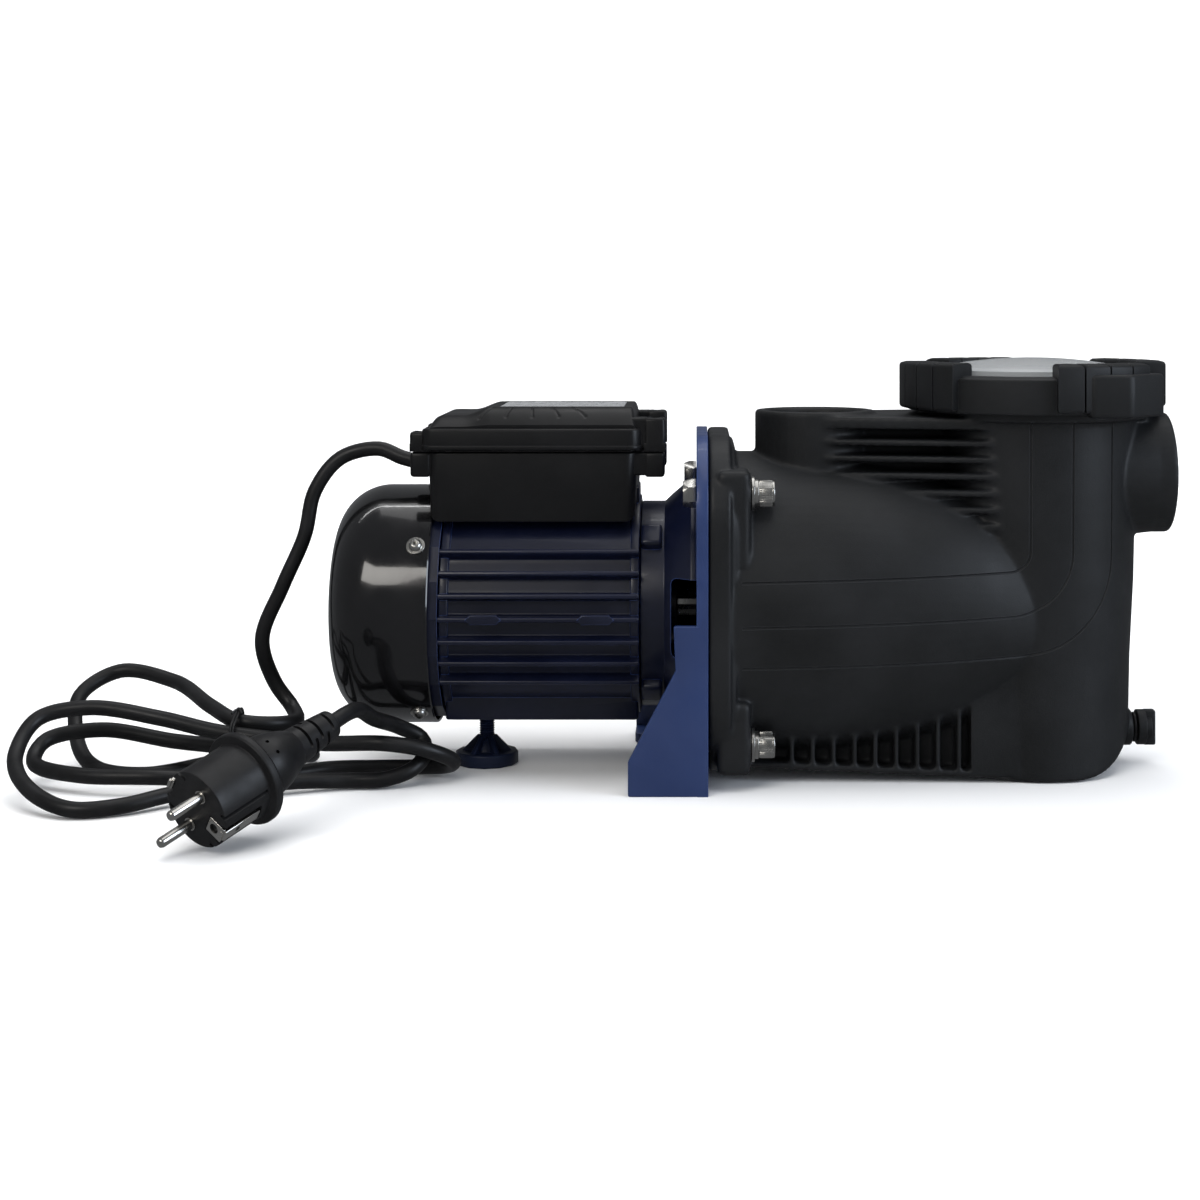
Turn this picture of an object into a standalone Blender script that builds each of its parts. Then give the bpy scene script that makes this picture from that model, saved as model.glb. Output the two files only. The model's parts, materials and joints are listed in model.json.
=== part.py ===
"""Pool pump: a strainer pot and volute in one moulding, driven by a finned electric motor.

Metres, +Z up. The origin is on the floor below the shaft, halfway through the thickness of the
mounting bracket. +X runs along the shaft from the motor towards the strainer pot. The pieces are
laid out from the joint between bracket and housing, and hang on one empty that is moved at the end.
"""

import math

import bmesh
import bpy
from mathutils import Matrix, Vector
from mathutils.geometry import convex_hull_2d

NAME = "pool_pump"
GAP = 0.0003  # clearance left between pieces that rest on each other

# Driving dimensions
SHAFT_Z = 0.085
FLANGE_WIDTH = 0.150
FLANGE_LOW, FLANGE_HIGH = 0.004, 0.176
FLANGE_CORNER = 0.045
BOLT_Y, BOLT_RISE = 0.058, 0.063
VOLUTE_RADIUS, VOLUTE_LENGTH, VOLUTE_MIDDLE = 0.080, 0.168, 0.045
VOLUTE_FLATTENING = 0.915
POT_X, POT_RADIUS, POT_TOP = 0.172, 0.054, 0.185
POT_BORE = 0.0512
NECK_RADIUS, NECK_TOP = 0.059, 0.197
PORT_RADIUS, PORT_BORE = 0.0316, 0.025
DISCHARGE_X, DISCHARGE_TOP = 0.0565, 0.187
SUCTION_Z, SUCTION_END = 0.154, 0.2423
SKIRT_HALF, WEB_HALF = 0.0475, 0.040
DRAIN_Z = 0.019
BRACKET_HALF, BRACKET_THICK, BRACKET_TOP = 0.076, 0.0061, 0.176
MOTOR_FRONT, MOTOR_REAR = -0.035, -0.136
MOTOR_RADIUS, FIN_TIP, MOTOR_BORE = 0.0555, 0.062, 0.0473
FAN_COVER_END, FAN_COVER_RIM, FAN_COVER_RADIUS = -0.1945, -0.141, 0.0623
SHAFT_RADIUS, SHAFT_NOSE = 0.007, 0.006
BEARING_RADIUS = 0.016
BOX_REAR, BOX_FRONT, BOX_HALF = -0.1432, -0.0366, 0.042
BOX_SKIRT, BOX_FLOOR, BOX_RIM = 0.129, 0.1505, 0.1674
BOX_SEAT_Z = 0.1476
LEAD_X = -0.085
LID_RIM_REAR, LID_RIM_FRONT, LID_RIM_HALF = -0.1462, -0.0344, 0.0455
EAR_REAR_X, EAR_FRONT_X, EAR_Y = -0.1472, -0.0275, 0.035
LID_TOP = 0.190
FOOT_X, SOLE_Z = -0.117, 0.0293
GLAND_Y, GLAND_Z = -0.013, 0.1605
CORD_RADIUS = 0.0039
TIE_X = -0.2385
TIED_CORDS = ((-0.0568, 0.0269), (-0.0471, 0.0182), (-0.0436, 0.0313))  # (y, z) where the tie crosses

PLUG_FACE = Vector((-0.227, -0.182, 0.020))
PLUG_END = Vector((-0.180, -0.116, 0.044))
PLUG_ROLL = math.radians(-52)

UP = Vector((0, 0, 1))
ALONG = Vector((1, 0, 0))
ACROSS = Vector((0, 1, 0))
FACING = {
    "X": Matrix(((0, 0, 1), (1, 0, 0), (0, 1, 0))),
    "Y": Matrix(((1, 0, 0), (0, 0, -1), (0, 1, 0))),
    "Z": Matrix.Identity(3),
}
COVER_SCREW_ANGLES = (55, 145, 235, 325)
CORNERS = ((-1, -1), (-1, 1), (1, -1), (1, 1))


# ---------------------------------------------------------------- scene and materials


def clear_scene():
    for obj in list(bpy.data.objects):
        bpy.data.objects.remove(obj, do_unlink=True)


def new_collection(name):
    collection = bpy.data.collections.new(name)
    bpy.context.scene.collection.children.link(collection)
    return collection


def material(name, colour, roughness, metallic=0.0):
    look = bpy.data.materials.new(name)
    look.use_nodes = True
    shader = look.node_tree.nodes["Principled BSDF"]
    shader.inputs["Base Color"].default_value = (*colour, 1.0)
    shader.inputs["Roughness"].default_value = roughness
    shader.inputs["Metallic"].default_value = metallic
    look.diffuse_color = (*colour, 1.0)
    return look


# ---------------------------------------------------------------- shapes


def add(name, data, look):
    """Links an object: to the pump when it has a material, or to the cutters when it has none."""
    obj = bpy.data.objects.new(name, data)
    obj.parent = HOME
    if look is None:
        CUTTERS.objects.link(obj)
        obj.hide_render = True
        obj.display_type = "WIRE"
    else:
        PARTS.objects.link(obj)
        data.materials.append(look)
    return obj


def block(name, low, high, look=None):
    """A box between two opposite corners."""
    low, high = Vector(low), Vector(high)
    bm = bmesh.new()
    bmesh.ops.create_cube(bm, size=1.0)
    bmesh.ops.scale(bm, vec=high - low, verts=bm.verts)
    mesh = bpy.data.meshes.new(name)
    bm.to_mesh(mesh)
    bm.free()
    obj = add(name, mesh, look)
    obj.location = (low + high) / 2
    return obj


def rod(name, radius, start, end, look=None, sides=16, end_radius=None):
    """A cylinder, or a cone when end_radius is given, from start to end."""
    start, end = Vector(start), Vector(end)
    bm = bmesh.new()
    bmesh.ops.create_cone(
        bm,
        cap_ends=True,
        segments=sides,
        radius1=radius,
        radius2=radius if end_radius is None else end_radius,
        depth=(end - start).length,
    )
    mesh = bpy.data.meshes.new(name)
    bm.to_mesh(mesh)
    bm.free()
    obj = add(name, mesh, look)
    obj.location = (start + end) / 2
    obj.rotation_euler = (end - start).to_track_quat("Z", "Y").to_euler()
    return obj


def turned(name, profile, look=None, axis=ALONG, at=(0, 0, SHAFT_Z), steps=20, closed=False):
    """Turns (radius, height) points about an axis. They run from high to low on the outer side."""
    mesh = bpy.data.meshes.new(name)
    edges = [(i, i + 1) for i in range(len(profile) - 1)]
    if closed:
        edges.append((len(profile) - 1, 0))
    mesh.from_pydata([(radius, 0.0, height) for radius, height in profile], edges, [])
    obj = add(name, mesh, look)
    obj.location = at
    obj.rotation_euler = axis.to_track_quat("Z", "Y").to_euler()
    turn = obj.modifiers.new("Turn", "SCREW")
    turn.axis = "Z"
    turn.steps = steps
    turn.render_steps = steps
    turn.use_merge_vertices = True
    turn.merge_threshold = 0.00002
    turn.use_smooth_shade = True
    return obj


def tube(name, outer, inner, start, end, look=None, **where):
    """A plain ring or tube about an axis, between two heights on it."""
    profile = [(outer, end), (outer, start), (inner, start), (inner, end)]
    return turned(name, profile, look, closed=True, **where)


def meshed(name, curve, matrix, look):
    """Makes a mesh object from a curve, with its caps welded."""
    source = bpy.data.objects.new(name + "_curve", curve)
    bpy.context.scene.collection.objects.link(source)
    graph = bpy.context.evaluated_depsgraph_get()
    mesh = bpy.data.meshes.new_from_object(source.evaluated_get(graph))
    bpy.data.objects.remove(source)
    bpy.data.curves.remove(curve)
    bm = bmesh.new()
    bm.from_mesh(mesh)
    bmesh.ops.remove_doubles(bm, verts=bm.verts, dist=0.000001)
    bmesh.ops.recalc_face_normals(bm, faces=bm.faces)
    bm.to_mesh(mesh)
    bm.free()
    mesh.materials.clear()
    obj = add(name, mesh, look)
    obj.matrix_world = matrix
    return obj


def slab(name, outlines, facing, low, high, look=None):
    """Extrudes flat outlines between two places on an axis: inner outlines become holes."""
    if isinstance(outlines[0][0], (int, float)):
        outlines = [outlines]
    curve = bpy.data.curves.new(name, "CURVE")
    curve.dimensions = "2D"
    curve.fill_mode = "BOTH"
    curve.extrude = abs(high - low) / 2
    for outline in outlines:
        spline = curve.splines.new("POLY")
        spline.points.add(len(outline) - 1)
        for point, (u, v) in zip(spline.points, outline):
            point.co = (u, v, 0.0, 1.0)
        spline.use_cyclic_u = True
    turn = FACING[facing]
    place = turn @ Vector((0, 0, 1)) * (low + high) / 2
    if facing == "Y":
        place = ACROSS * (low + high) / 2
    return meshed(name, curve, Matrix.Translation(place) @ turn.to_4x4(), look)


def wire(name, points, radius, look=None):
    """A round wire through the points given."""
    curve = bpy.data.curves.new(name, "CURVE")
    curve.dimensions = "3D"
    curve.bevel_depth = radius
    curve.bevel_resolution = 1
    curve.use_fill_caps = True
    spline = curve.splines.new("POLY")
    spline.points.add(len(points) - 1)
    for point, place in zip(spline.points, points):
        point.co = (*place, 1.0)
    return meshed(name, curve, Matrix.Identity(4), look)


def combine(target, operation, shapes):
    for shape in shapes:
        step = target.modifiers.new(shape.name, "BOOLEAN")
        step.operation = operation
        step.object = shape
    return target


def unite(target, *shapes):
    return combine(target, "UNION", shapes)


def cut(target, *shapes):
    return combine(target, "DIFFERENCE", shapes)


# ---------------------------------------------------------------- outlines


def arc(centre, radius, start, end, count):
    """Points on an arc, both ends included, with angles in degrees."""
    found = []
    for i in range(count):
        angle = math.radians(start + (end - start) * i / (count - 1))
        found.append((centre[0] + radius * math.cos(angle), centre[1] + radius * math.sin(angle)))
    return found


def rounded_rectangle(low, high, radius, count=5):
    corners = (
        (high[0] - radius, high[1] - radius, 0),
        (low[0] + radius, high[1] - radius, 90),
        (low[0] + radius, low[1] + radius, 180),
        (high[0] - radius, low[1] + radius, 270),
    )
    outline = []
    for u, v, start in corners:
        outline += arc((u, v), radius, start, start + 90, count)
    return outline


def hull_of_circles(first_u, first_radius, second_u, second_radius, count=9):
    """The outline round two circles on the same line, joined by their common tangents."""
    lean = math.degrees(math.acos((first_radius - second_radius) / (second_u - first_u)))
    return arc((first_u, 0), first_radius, lean, 360 - lean, count) + arc(
        (second_u, 0), second_radius, -lean, lean, count
    )


def spiral_band(start_radius, end_radius, sweep, thickness, start, count=4):
    """A curved vane seen along its shaft, as a band of even thickness."""
    outer, inner = [], []
    for i in range(count):
        share = i / (count - 1)
        radius = start_radius + (end_radius - start_radius) * share
        angle = math.radians(start + sweep * share)
        half = thickness / 2 / radius
        outer.append((radius * math.cos(angle + half), radius * math.sin(angle + half)))
        inner.append((radius * math.cos(angle - half), radius * math.sin(angle - half)))
    return outer + inner[::-1]


def shifted(outline, du=0.0, dv=0.0):
    return [(u + du, v + dv) for u, v in outline]


def smooth_route(controls, spacing):
    """A centripetal Catmull-Rom curve through the control points."""
    points = [Vector(place) for place in controls]
    points = [2 * points[0] - points[1], *points, 2 * points[-1] - points[-2]]
    route = []
    for before, start, end, after in zip(points, points[1:], points[2:], points[3:]):
        knots = [0.0]
        for a, b in ((before, start), (start, end), (end, after)):
            knots.append(knots[-1] + math.sqrt((b - a).length))
        count = max(2, round((end - start).length / spacing))
        for i in range(count):
            t = knots[1] + (knots[2] - knots[1]) * i / count
            level = [before, start, end, after]
            for span in (1, 2, 3):
                level = [
                    level[k].lerp(level[k + 1], blend_at(t, knots, k, span))
                    for k in range(4 - span)
                ]
            route.append(level[0])
    route.append(points[-2])
    return route


def blend_at(t, knots, k, span):
    """How far t is between the two knots that one step of the curve's pyramid joins."""
    low, high = (k, k + 1) if span == 1 else (k, k + 2) if span == 2 else (1, 2)
    return (t - knots[low]) / (knots[high] - knots[low])


def bolt_places():
    return [(side * BOLT_Y, SHAFT_Z + rise * BOLT_RISE) for side, rise in CORNERS]


# ---------------------------------------------------------------- pump end


def volute_radius(x):
    """The volute narrows towards the pot as a quarter of an ellipse."""
    share = max(0.0, (x - VOLUTE_MIDDLE) / VOLUTE_LENGTH)
    return VOLUTE_RADIUS * math.sqrt(1 - share * share)


def volute_shape():
    places = (0.176, 0.160, 0.140, 0.112, 0.078, 0.010)
    profile = [(0.0, places[0])]
    profile += [(volute_radius(x), x) for x in places]
    profile.append((0.0, places[-1]))
    shape = turned("volute_body", profile, steps=22)
    shape.scale = (VOLUTE_FLATTENING, 1.0, 1.0)
    return shape


def pot_shape():
    """Upright, slightly tapered cylinder whose far lower corner is rounded off."""
    profile = [(0.0, POT_TOP), (POT_RADIUS + 0.0005, POT_TOP), (POT_RADIUS, 0.110)]
    profile += [(0.0515, 0.065), (0.0505, 0.001), (0.0, 0.001)]
    pot = turned("pot_body", profile, axis=UP, at=(POT_X, 0, 0), steps=22)
    corner = arc((POT_X + 0.0175, 0.034), 0.033, -90, 0, 6)
    corner += [(0.240, 0.034), (0.240, -0.010), (POT_X + 0.0175, -0.010)]
    return cut(pot, slab("pot_corner", corner, "Y", -0.070, 0.070))


def upper_ribs():
    """Seven horizontal plates round a narrow web, between the discharge port and the pot."""
    outline = hull_of_circles(DISCHARGE_X, PORT_RADIUS - 0.0008, POT_X, POT_RADIUS - 0.0030, 6)
    shapes = [block("rib_web", (DISCHARGE_X, -0.020, 0.120), (POT_X, 0.020, 0.1815))]
    for i in range(7):
        middle = 0.1805 - 0.0085 * i
        shapes.append(slab(f"rib_{i}", outline, "Z", middle - 0.0016, middle + 0.0016))
    crown = slab("rib_crown", outline, "Z", 0.1805, 0.1846)
    return [*shapes, crown]


def lower_skirt():
    """The block under the volute, with nine upright ribs on each side and a sloping floor."""
    web = slab("skirt_web", [(0.010, 0.012), (POT_X, 0.003), (POT_X, 0.070), (0.010, 0.070)],
               "Y", -WEB_HALF, WEB_HALF)
    floor = slab("skirt_floor", [(0.0105, 0.009), (0.153, 0.0025), (0.153, 0.007), (0.0105, 0.013)],
                 "Y", -SKIRT_HALF, SKIRT_HALF)
    full = slab("skirt_full", [(0.1330, 0.0050), (0.155, 0.0035), (0.155, 0.068), (0.1330, 0.068)],
                "Y", -SKIRT_HALF + GAP, SKIRT_HALF - GAP)
    shapes = [web, floor, full]
    for i in range(9):
        x = 0.0422 + 0.0106 * i
        half = SKIRT_HALF - 0.0006
        low, high = (x - 0.0017, -half, 0.0112), (x + 0.0017, half, 0.060)
        shapes.append(block(f"skirt_rib_{i}", low, high))
    return shapes


def ports_and_bosses():
    shapes = [
        rod("discharge", PORT_RADIUS, (DISCHARGE_X, 0, 0.110), (DISCHARGE_X, 0, DISCHARGE_TOP), sides=24),
        rod("suction", PORT_RADIUS, (POT_X, 0, SUCTION_Z), (SUCTION_END, 0, SUCTION_Z), sides=24),
        rod("suction_root", 0.036, (POT_X, 0, SUCTION_Z), (0.229, 0, SUCTION_Z), sides=24,
            end_radius=0.0325),
        rod("neck", NECK_RADIUS, (POT_X, 0, 0.183), (POT_X, 0, NECK_TOP), sides=22),
        rod("drain_boss", 0.0095, (0.195, 0, DRAIN_Z), (0.224, 0, DRAIN_Z), sides=10),
    ]
    for i, (y, z) in enumerate(bolt_places()):
        shapes.append(rod(f"bolt_boss_{i}", 0.0105, (0.005, y, z), (0.021, y, z), sides=10))
        inner, outer = sorted((math.copysign(0.0385, y), math.copysign(0.0695, y)))
        low, high = (0.0085, 0.0450) if z < SHAFT_Z else (0.1095, 0.1600)
        shapes.append(block(f"bolt_pad_{i}", (0.0060, inner, low), (0.0205, outer, high)))
    return shapes


def housing_cavities():
    pot_bore = [(0.0, 0.200), (POT_BORE, 0.200), (POT_BORE, 0.150), (0.048, 0.065)]
    pot_bore += [(0.045, 0.040), (0.030, 0.010), (0.0, 0.006)]
    chamber = [(0.0, 0.098), (0.040, 0.098), (0.060, 0.070), (0.064, 0.040), (0.064, -0.010), (0.0, -0.010)]
    cavities = [
        turned("pot_cavity", pot_bore, axis=UP, at=(POT_X, 0, 0)),
        turned("volute_chamber", chamber),
        rod("seal_plate_seat", 0.0703, (-0.005, 0, SHAFT_Z), (0.0063, 0, SHAFT_Z), sides=24),
        rod("suction_passage", 0.0222, (0.090, 0, SHAFT_Z), (0.137, 0, SHAFT_Z), sides=22),
        rod("suction_bore", PORT_BORE, (0.200, 0, SUCTION_Z), (0.260, 0, SUCTION_Z), sides=24),
        rod("discharge_bore", PORT_BORE, (DISCHARGE_X, 0, 0.110), (DISCHARGE_X, 0, 0.200), sides=24),
        rod("drain_bore", 0.0053, (0.185, 0, DRAIN_Z), (0.235, 0, DRAIN_Z), sides=10),
        tube("o_ring_groove", 0.0572, 0.0535, 0.1940, 0.2000, axis=UP, at=(POT_X, 0, 0)),
    ]
    for i, (y, z) in enumerate(bolt_places()):
        cavities.append(rod(f"bolt_hole_{i}", 0.0044, (-0.005, y, z), (0.030, y, z), sides=10))
    return cavities


def pump_housing():
    half = FLANGE_WIDTH / 2
    flange = rounded_rectangle((-half, FLANGE_LOW), (half, FLANGE_HIGH), FLANGE_CORNER, 5)
    step = rounded_rectangle((-0.0715, 0.0065), (0.0715, 0.1705), FLANGE_CORNER, 5)
    housing = slab("pump_housing", flange, "X", 0.0, 0.0115, PLASTIC)
    unite(housing, slab("flange_step", step, "X", 0.005, 0.0138))
    unite(housing, volute_shape(), pot_shape(), *upper_ribs(), *lower_skirt(), *ports_and_bosses())
    return cut(housing, *housing_cavities())


def seal_plate():
    profile = [(0.069, 0.0060), (0.069, GAP), (0.022, GAP), (0.022, -0.0040)]
    profile += [(0.0095, -0.0040), (0.0095, -0.0015), (0.0133, -0.0015), (0.0133, 0.0060)]
    turned("seal_plate", profile, PLASTIC, closed=True)
    tube("seal_plate_o_ring", 0.0636, 0.0612, 0.0063, 0.0090, RUBBER)
    tube("shaft_seal_seat", 0.0130, 0.0080, -0.0012, 0.0060, CERAMIC)
    tube("shaft_seal_rotary", 0.0115, 0.0073, 0.0063, 0.0137, RUBBER)


def impeller():
    """Closed impeller: back shroud with hub, six swept vanes, and a front shroud with its eye."""
    profile = [(0.0, 0.0330), (0.0085, 0.0330), (0.0110, 0.0180), (0.0500, 0.0172), (0.0500, 0.0140)]
    profile += [(0.0, 0.0140)]
    wheel = turned("impeller", profile, PLASTIC, steps=22)
    front = [(0.0178, 0.0500), (0.0178, 0.0340), (0.0500, 0.0310), (0.0500, 0.0280)]
    front += [(0.0145, 0.0300), (0.0145, 0.0500)]
    unite(wheel, turned("impeller_front", front, steps=22, closed=True))
    for i in range(6):
        band = shifted(spiral_band(0.0150, 0.0485, -70, 0.0024, 60 * i), dv=SHAFT_Z)
        unite(wheel, slab(f"vane_{i}", band, "X", 0.0160, 0.0300))
    return cut(wheel, rod("impeller_bore", SHAFT_NOSE + GAP, (0.010, 0, SHAFT_Z), (0.029, 0, SHAFT_Z)))


def diffuser():
    """Cover over the impeller, with an eye tube that plugs into the passage from the pot."""
    profile = [(0.0215, 0.1100), (0.0215, 0.0480), (0.0600, 0.0390), (0.0600, 0.0095)]
    profile += [(0.0570, 0.0095), (0.0570, 0.0355), (0.0185, 0.0440), (0.0185, 0.1100)]
    cover = turned("diffuser", profile, PLASTIC, closed=True)
    for i in range(3):
        window = block(f"diffuser_window_{i}", (0.0140, -0.070, -0.012), (0.0320, 0.070, 0.012))
        window.location = (0.0230, 0, SHAFT_Z)
        window.rotation_euler = (math.radians(60 * i + 30), 0, 0)
        cut(cover, window)
    return cover


# ---------------------------------------------------------------- strainer lid and basket


def lid_lens():
    """Clear domed cover with a flange for the locking ring and a skirt inside the neck."""
    profile = [(0.0, 0.2146), (0.0300, 0.2132), (0.0500, 0.2095), (0.0520, 0.2010), (0.0588, 0.2008)]
    profile += [(0.0588, NECK_TOP + GAP), (0.0500, NECK_TOP + GAP), (0.0500, 0.1880)]
    profile += [(0.0472, 0.1880), (0.0472, 0.2060), (0.0300, 0.2096), (0.0, 0.2110)]
    return turned("lid_lens", profile, LENS, axis=UP, at=(POT_X, 0, 0), steps=22)


def grip_outline(start, end, base, reach):
    """One raised grip of the locking ring, seen from above."""
    rim = arc((POT_X, 0), reach, start + 2, end - 2, 4)
    foot = arc((POT_X, 0), base, end, start, 3)
    return rim + foot


def paddle_outline(side):
    """One of the two broad lugs that a hand turns the ring by."""
    outline = arc((0, 0), 0.0630, -74, -35, 4)
    outline += [(0.0602, -0.0475), (0.0385, -0.0695), (0.0172, -0.0692)]
    return [(POT_X + side * u, side * v) for u, v in outline]


def lid_locking_ring():
    profile = [(0.0620, 0.2080), (0.0655, 0.2050), (0.0655, 0.1873), (0.0605, 0.1873)]
    profile += [(0.0605, 0.2013), (0.0534, 0.2013), (0.0534, 0.2080)]
    ring = turned("lid_locking_ring", profile, PLASTIC, axis=UP, at=(POT_X, 0, 0), steps=22, closed=True)
    for i in range(4):
        turn = 90 * i
        grip = grip_outline(turn + 1, turn + 47, 0.0550, 0.0708)
        wall = grip_outline(turn + 2, turn + 46, 0.0620, 0.0706)
        unite(ring, slab(f"grip_{i}", grip, "Z", 0.2030, 0.2130))
        unite(ring, slab(f"grip_wall_{i}", wall, "Z", 0.1890, 0.2050))
    for side in (-1, 1):
        unite(ring, slab(f"paddle_{side}", paddle_outline(side), "Z", 0.1862, 0.2077))
    return ring


def lid_o_ring():
    tube("lid_o_ring", 0.0566, 0.0541, 0.1943, NECK_TOP, RUBBER, axis=UP, at=(POT_X, 0, 0))


def strainer_basket():
    """Slotted cup that hangs in the pot, with a carrying bail."""
    profile = [(0.0490, 0.1840), (0.0490, 0.1810), (0.0455, 0.1780), (0.0400, 0.0300), (0.0, 0.0300)]
    profile += [(0.0, 0.0322), (0.0380, 0.0322), (0.0435, 0.1800), (0.0435, 0.1840)]
    basket = turned("strainer_basket", profile, PLASTIC, axis=UP, at=(POT_X, 0, 0), closed=True)
    low, high = 0.0420, 0.1700
    for i in range(6):
        slot = block(f"basket_slot_{i}", (-0.060, -0.0045, low), (0.060, 0.0045, high))
        slot.location = (POT_X, 0, (low + high) / 2)
        slot.rotation_euler = (0, 0, math.radians(30 * i))
        cut(basket, slot)
    bail = [(POT_X + u, 0, 0.1825 + v * 0.5) for u, v in arc((0, 0), 0.0462, 0, 180, 11)]
    return unite(basket, wire("basket_bail", bail, 0.0020))


# ---------------------------------------------------------------- drain plug


def drain_plug():
    start = 0.2240 + GAP
    tube("drain_plug_o_ring", 0.0085, 0.0052, start, start + 0.0020, RUBBER, at=(0, 0, DRAIN_Z), steps=16)
    head = start + 0.0020 + GAP
    profile = [(0.0, 0.2310), (0.0092, 0.2310), (0.0092, head), (0.0049, head), (0.0049, 0.2120)]
    profile += [(0.0, 0.2120)]
    plug = turned("drain_plug", profile, PLASTIC, at=(0, 0, DRAIN_Z), steps=16)
    return unite(plug, block("drain_wing", (0.2300, -0.0030, DRAIN_Z - 0.0092),
                             (0.2366, 0.0030, DRAIN_Z + 0.0092)))


# ---------------------------------------------------------------- bracket and its fasteners


def mounting_bracket():
    """Arched plate with a gusset and a floor pad on each side."""
    half, corner = BRACKET_HALF, 0.042
    arch = [(-half, 0.0), (half, 0.0)]
    arch += arc((half - corner, BRACKET_TOP - corner), corner, 0, 90, 7)
    arch += arc((corner - half, BRACKET_TOP - corner), corner, 90, 180, 7)
    opening = shifted(arc((0, 0), 0.042, 0, 345, 24), dv=SHAFT_Z)
    bracket = slab("mounting_bracket", [arch, opening], "X", -BRACKET_THICK, 0.0 - GAP, BLUE)
    gusset = [(-0.003, 0.0), (-0.003, SHAFT_Z - 0.001), (-0.0175, SHAFT_Z - 0.001), (-0.0165, 0.062)]
    gusset += [(-0.040, 0.017), (-0.040, 0.0)]
    for side in (-1, 1):
        inner, outer = sorted((side * (half - 0.0045), side * half))
        unite(bracket, slab(f"gusset_{side}", gusset, "Y", inner, outer))
        inner, outer = sorted((side * (half - 0.028), side * (half - 0.002)))
        unite(bracket, block(f"floor_pad_{side}", (-0.040, inner, 0.0), (-0.003, outer, 0.0050)))
        place = (-0.0220, side * (half - 0.016))
        cut(bracket, rod(f"anchor_hole_{side}", 0.0045, (*place, -0.010), (*place, 0.020), sides=10))
    for i, (y, z) in enumerate(bolt_places()):
        cut(bracket, rod(f"bracket_hole_{i}", 0.0044, (-0.020, y, z), (0.010, y, z), sides=10))
    return bracket


def flange_bolts():
    """Socket-head screws with captive washers, each held by a nut behind the bracket."""
    for i, (y, z) in enumerate(bolt_places(), start=1):
        face = 0.0210 + GAP
        profile = [(0.0, face + 0.0118), (0.0060, face + 0.0118), (0.0065, face + 0.0112)]
        profile += [(0.0065, face + 0.0036), (0.0070, face + 0.0036), (0.0070, face + 0.0016)]
        profile += [(0.0085, face + 0.0016), (0.0085, face), (0.0040, face), (0.0040, -0.0150)]
        profile += [(0.0, -0.0150)]
        bolt = turned(f"flange_bolt_{i}", profile, STEEL, at=(0, y, z), steps=12)
        cut(bolt, rod(f"socket_{i}", 0.0036, (0.0275, y, z), (0.0400, y, z), sides=6))
        back = -BRACKET_THICK - GAP
        nut = rod(f"flange_nut_{i}", 0.0073, (back - 0.0065, y, z), (back, y, z), STEEL, sides=6)
        cut(nut, rod(f"nut_bore_{i}", 0.0043, (back - 0.010, y, z), (back + 0.010, y, z), sides=10))


# ---------------------------------------------------------------- motor


def fin_outline():
    """Cross-section of the motor frame: a round back with seven fins on each side."""
    spacing, half_root, half_tip = 10.9, 2.0, 1.4
    outline = []
    for side in (0, 180):
        for i in range(-3, 4):
            middle = side + spacing * i
            for offset, radius in (
                (-half_root, MOTOR_RADIUS),
                (-half_tip, FIN_TIP),
                (half_tip, FIN_TIP),
                (half_root, MOTOR_RADIUS),
            ):
                angle = math.radians(middle + offset)
                outline.append((radius * math.cos(angle), SHAFT_Z + radius * math.sin(angle)))
        outline += arc((0, SHAFT_Z), MOTOR_RADIUS, side + 42, side + 138, 9)
    return outline


def motor_frame():
    rear, front = MOTOR_REAR + 0.001, MOTOR_FRONT - 0.001
    frame = slab("motor_frame", fin_outline(), "X", MOTOR_REAR, MOTOR_FRONT, NAVY)
    saddle = block("box_seat", (rear, -0.018, 0.120), (front, 0.018, BOX_SEAT_Z))
    sole = block("foot_seat", (rear, -0.034, SOLE_Z), (front, 0.034, 0.0440))
    unite(frame, saddle, sole)
    bore = rod("frame_bore", MOTOR_BORE, (MOTOR_REAR - 0.01, 0, SHAFT_Z),
               (MOTOR_FRONT + 0.01, 0, SHAFT_Z), sides=24)
    lead_hole = rod("lead_hole", 0.0080, (LEAD_X, 0, 0.110), (LEAD_X, 0, 0.160), sides=10)
    foot_bore = rod("foot_bore", 0.0043, (FOOT_X, 0, 0.010), (FOOT_X, 0, 0.060), sides=10)
    return cut(frame, bore, lead_hole, foot_bore)


def front_end_bracket():
    """Bell that carries the front bearing and flares out to the mounting bracket, with windows."""
    flare = [(0.0652, -0.0064), (0.0652, -0.0090), (0.0570, -0.0190), (0.0536, -0.0225)]
    seat = [(0.0536, -0.0347), (0.0163, -0.0347), (0.0163, -0.0190), (0.0095, -0.0190)]
    seat += [(0.0095, -0.0160), (0.0210, -0.0160), (0.0210, -0.0300)]
    inside = [(0.0490, -0.0300), (0.0490, -0.0225), (0.0540, -0.0160), (0.0600, -0.0064)]
    bell = turned("front_end_bracket", [*flare, *seat, *inside], BLUE_DARK, closed=True, steps=22)
    for angle, half in ((180, 0.020), (270, 0.012)):
        window = block(f"bell_window_{angle}", (-0.0190, 0.0440, -half), (-0.0045, 0.0800, half))
        window.matrix_world = (
            Matrix.Translation((0, 0, SHAFT_Z))
            @ Matrix.Rotation(math.radians(angle), 4, "X")
            @ window.matrix_basis
        )
        cut(bell, window)
    return bell


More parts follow.
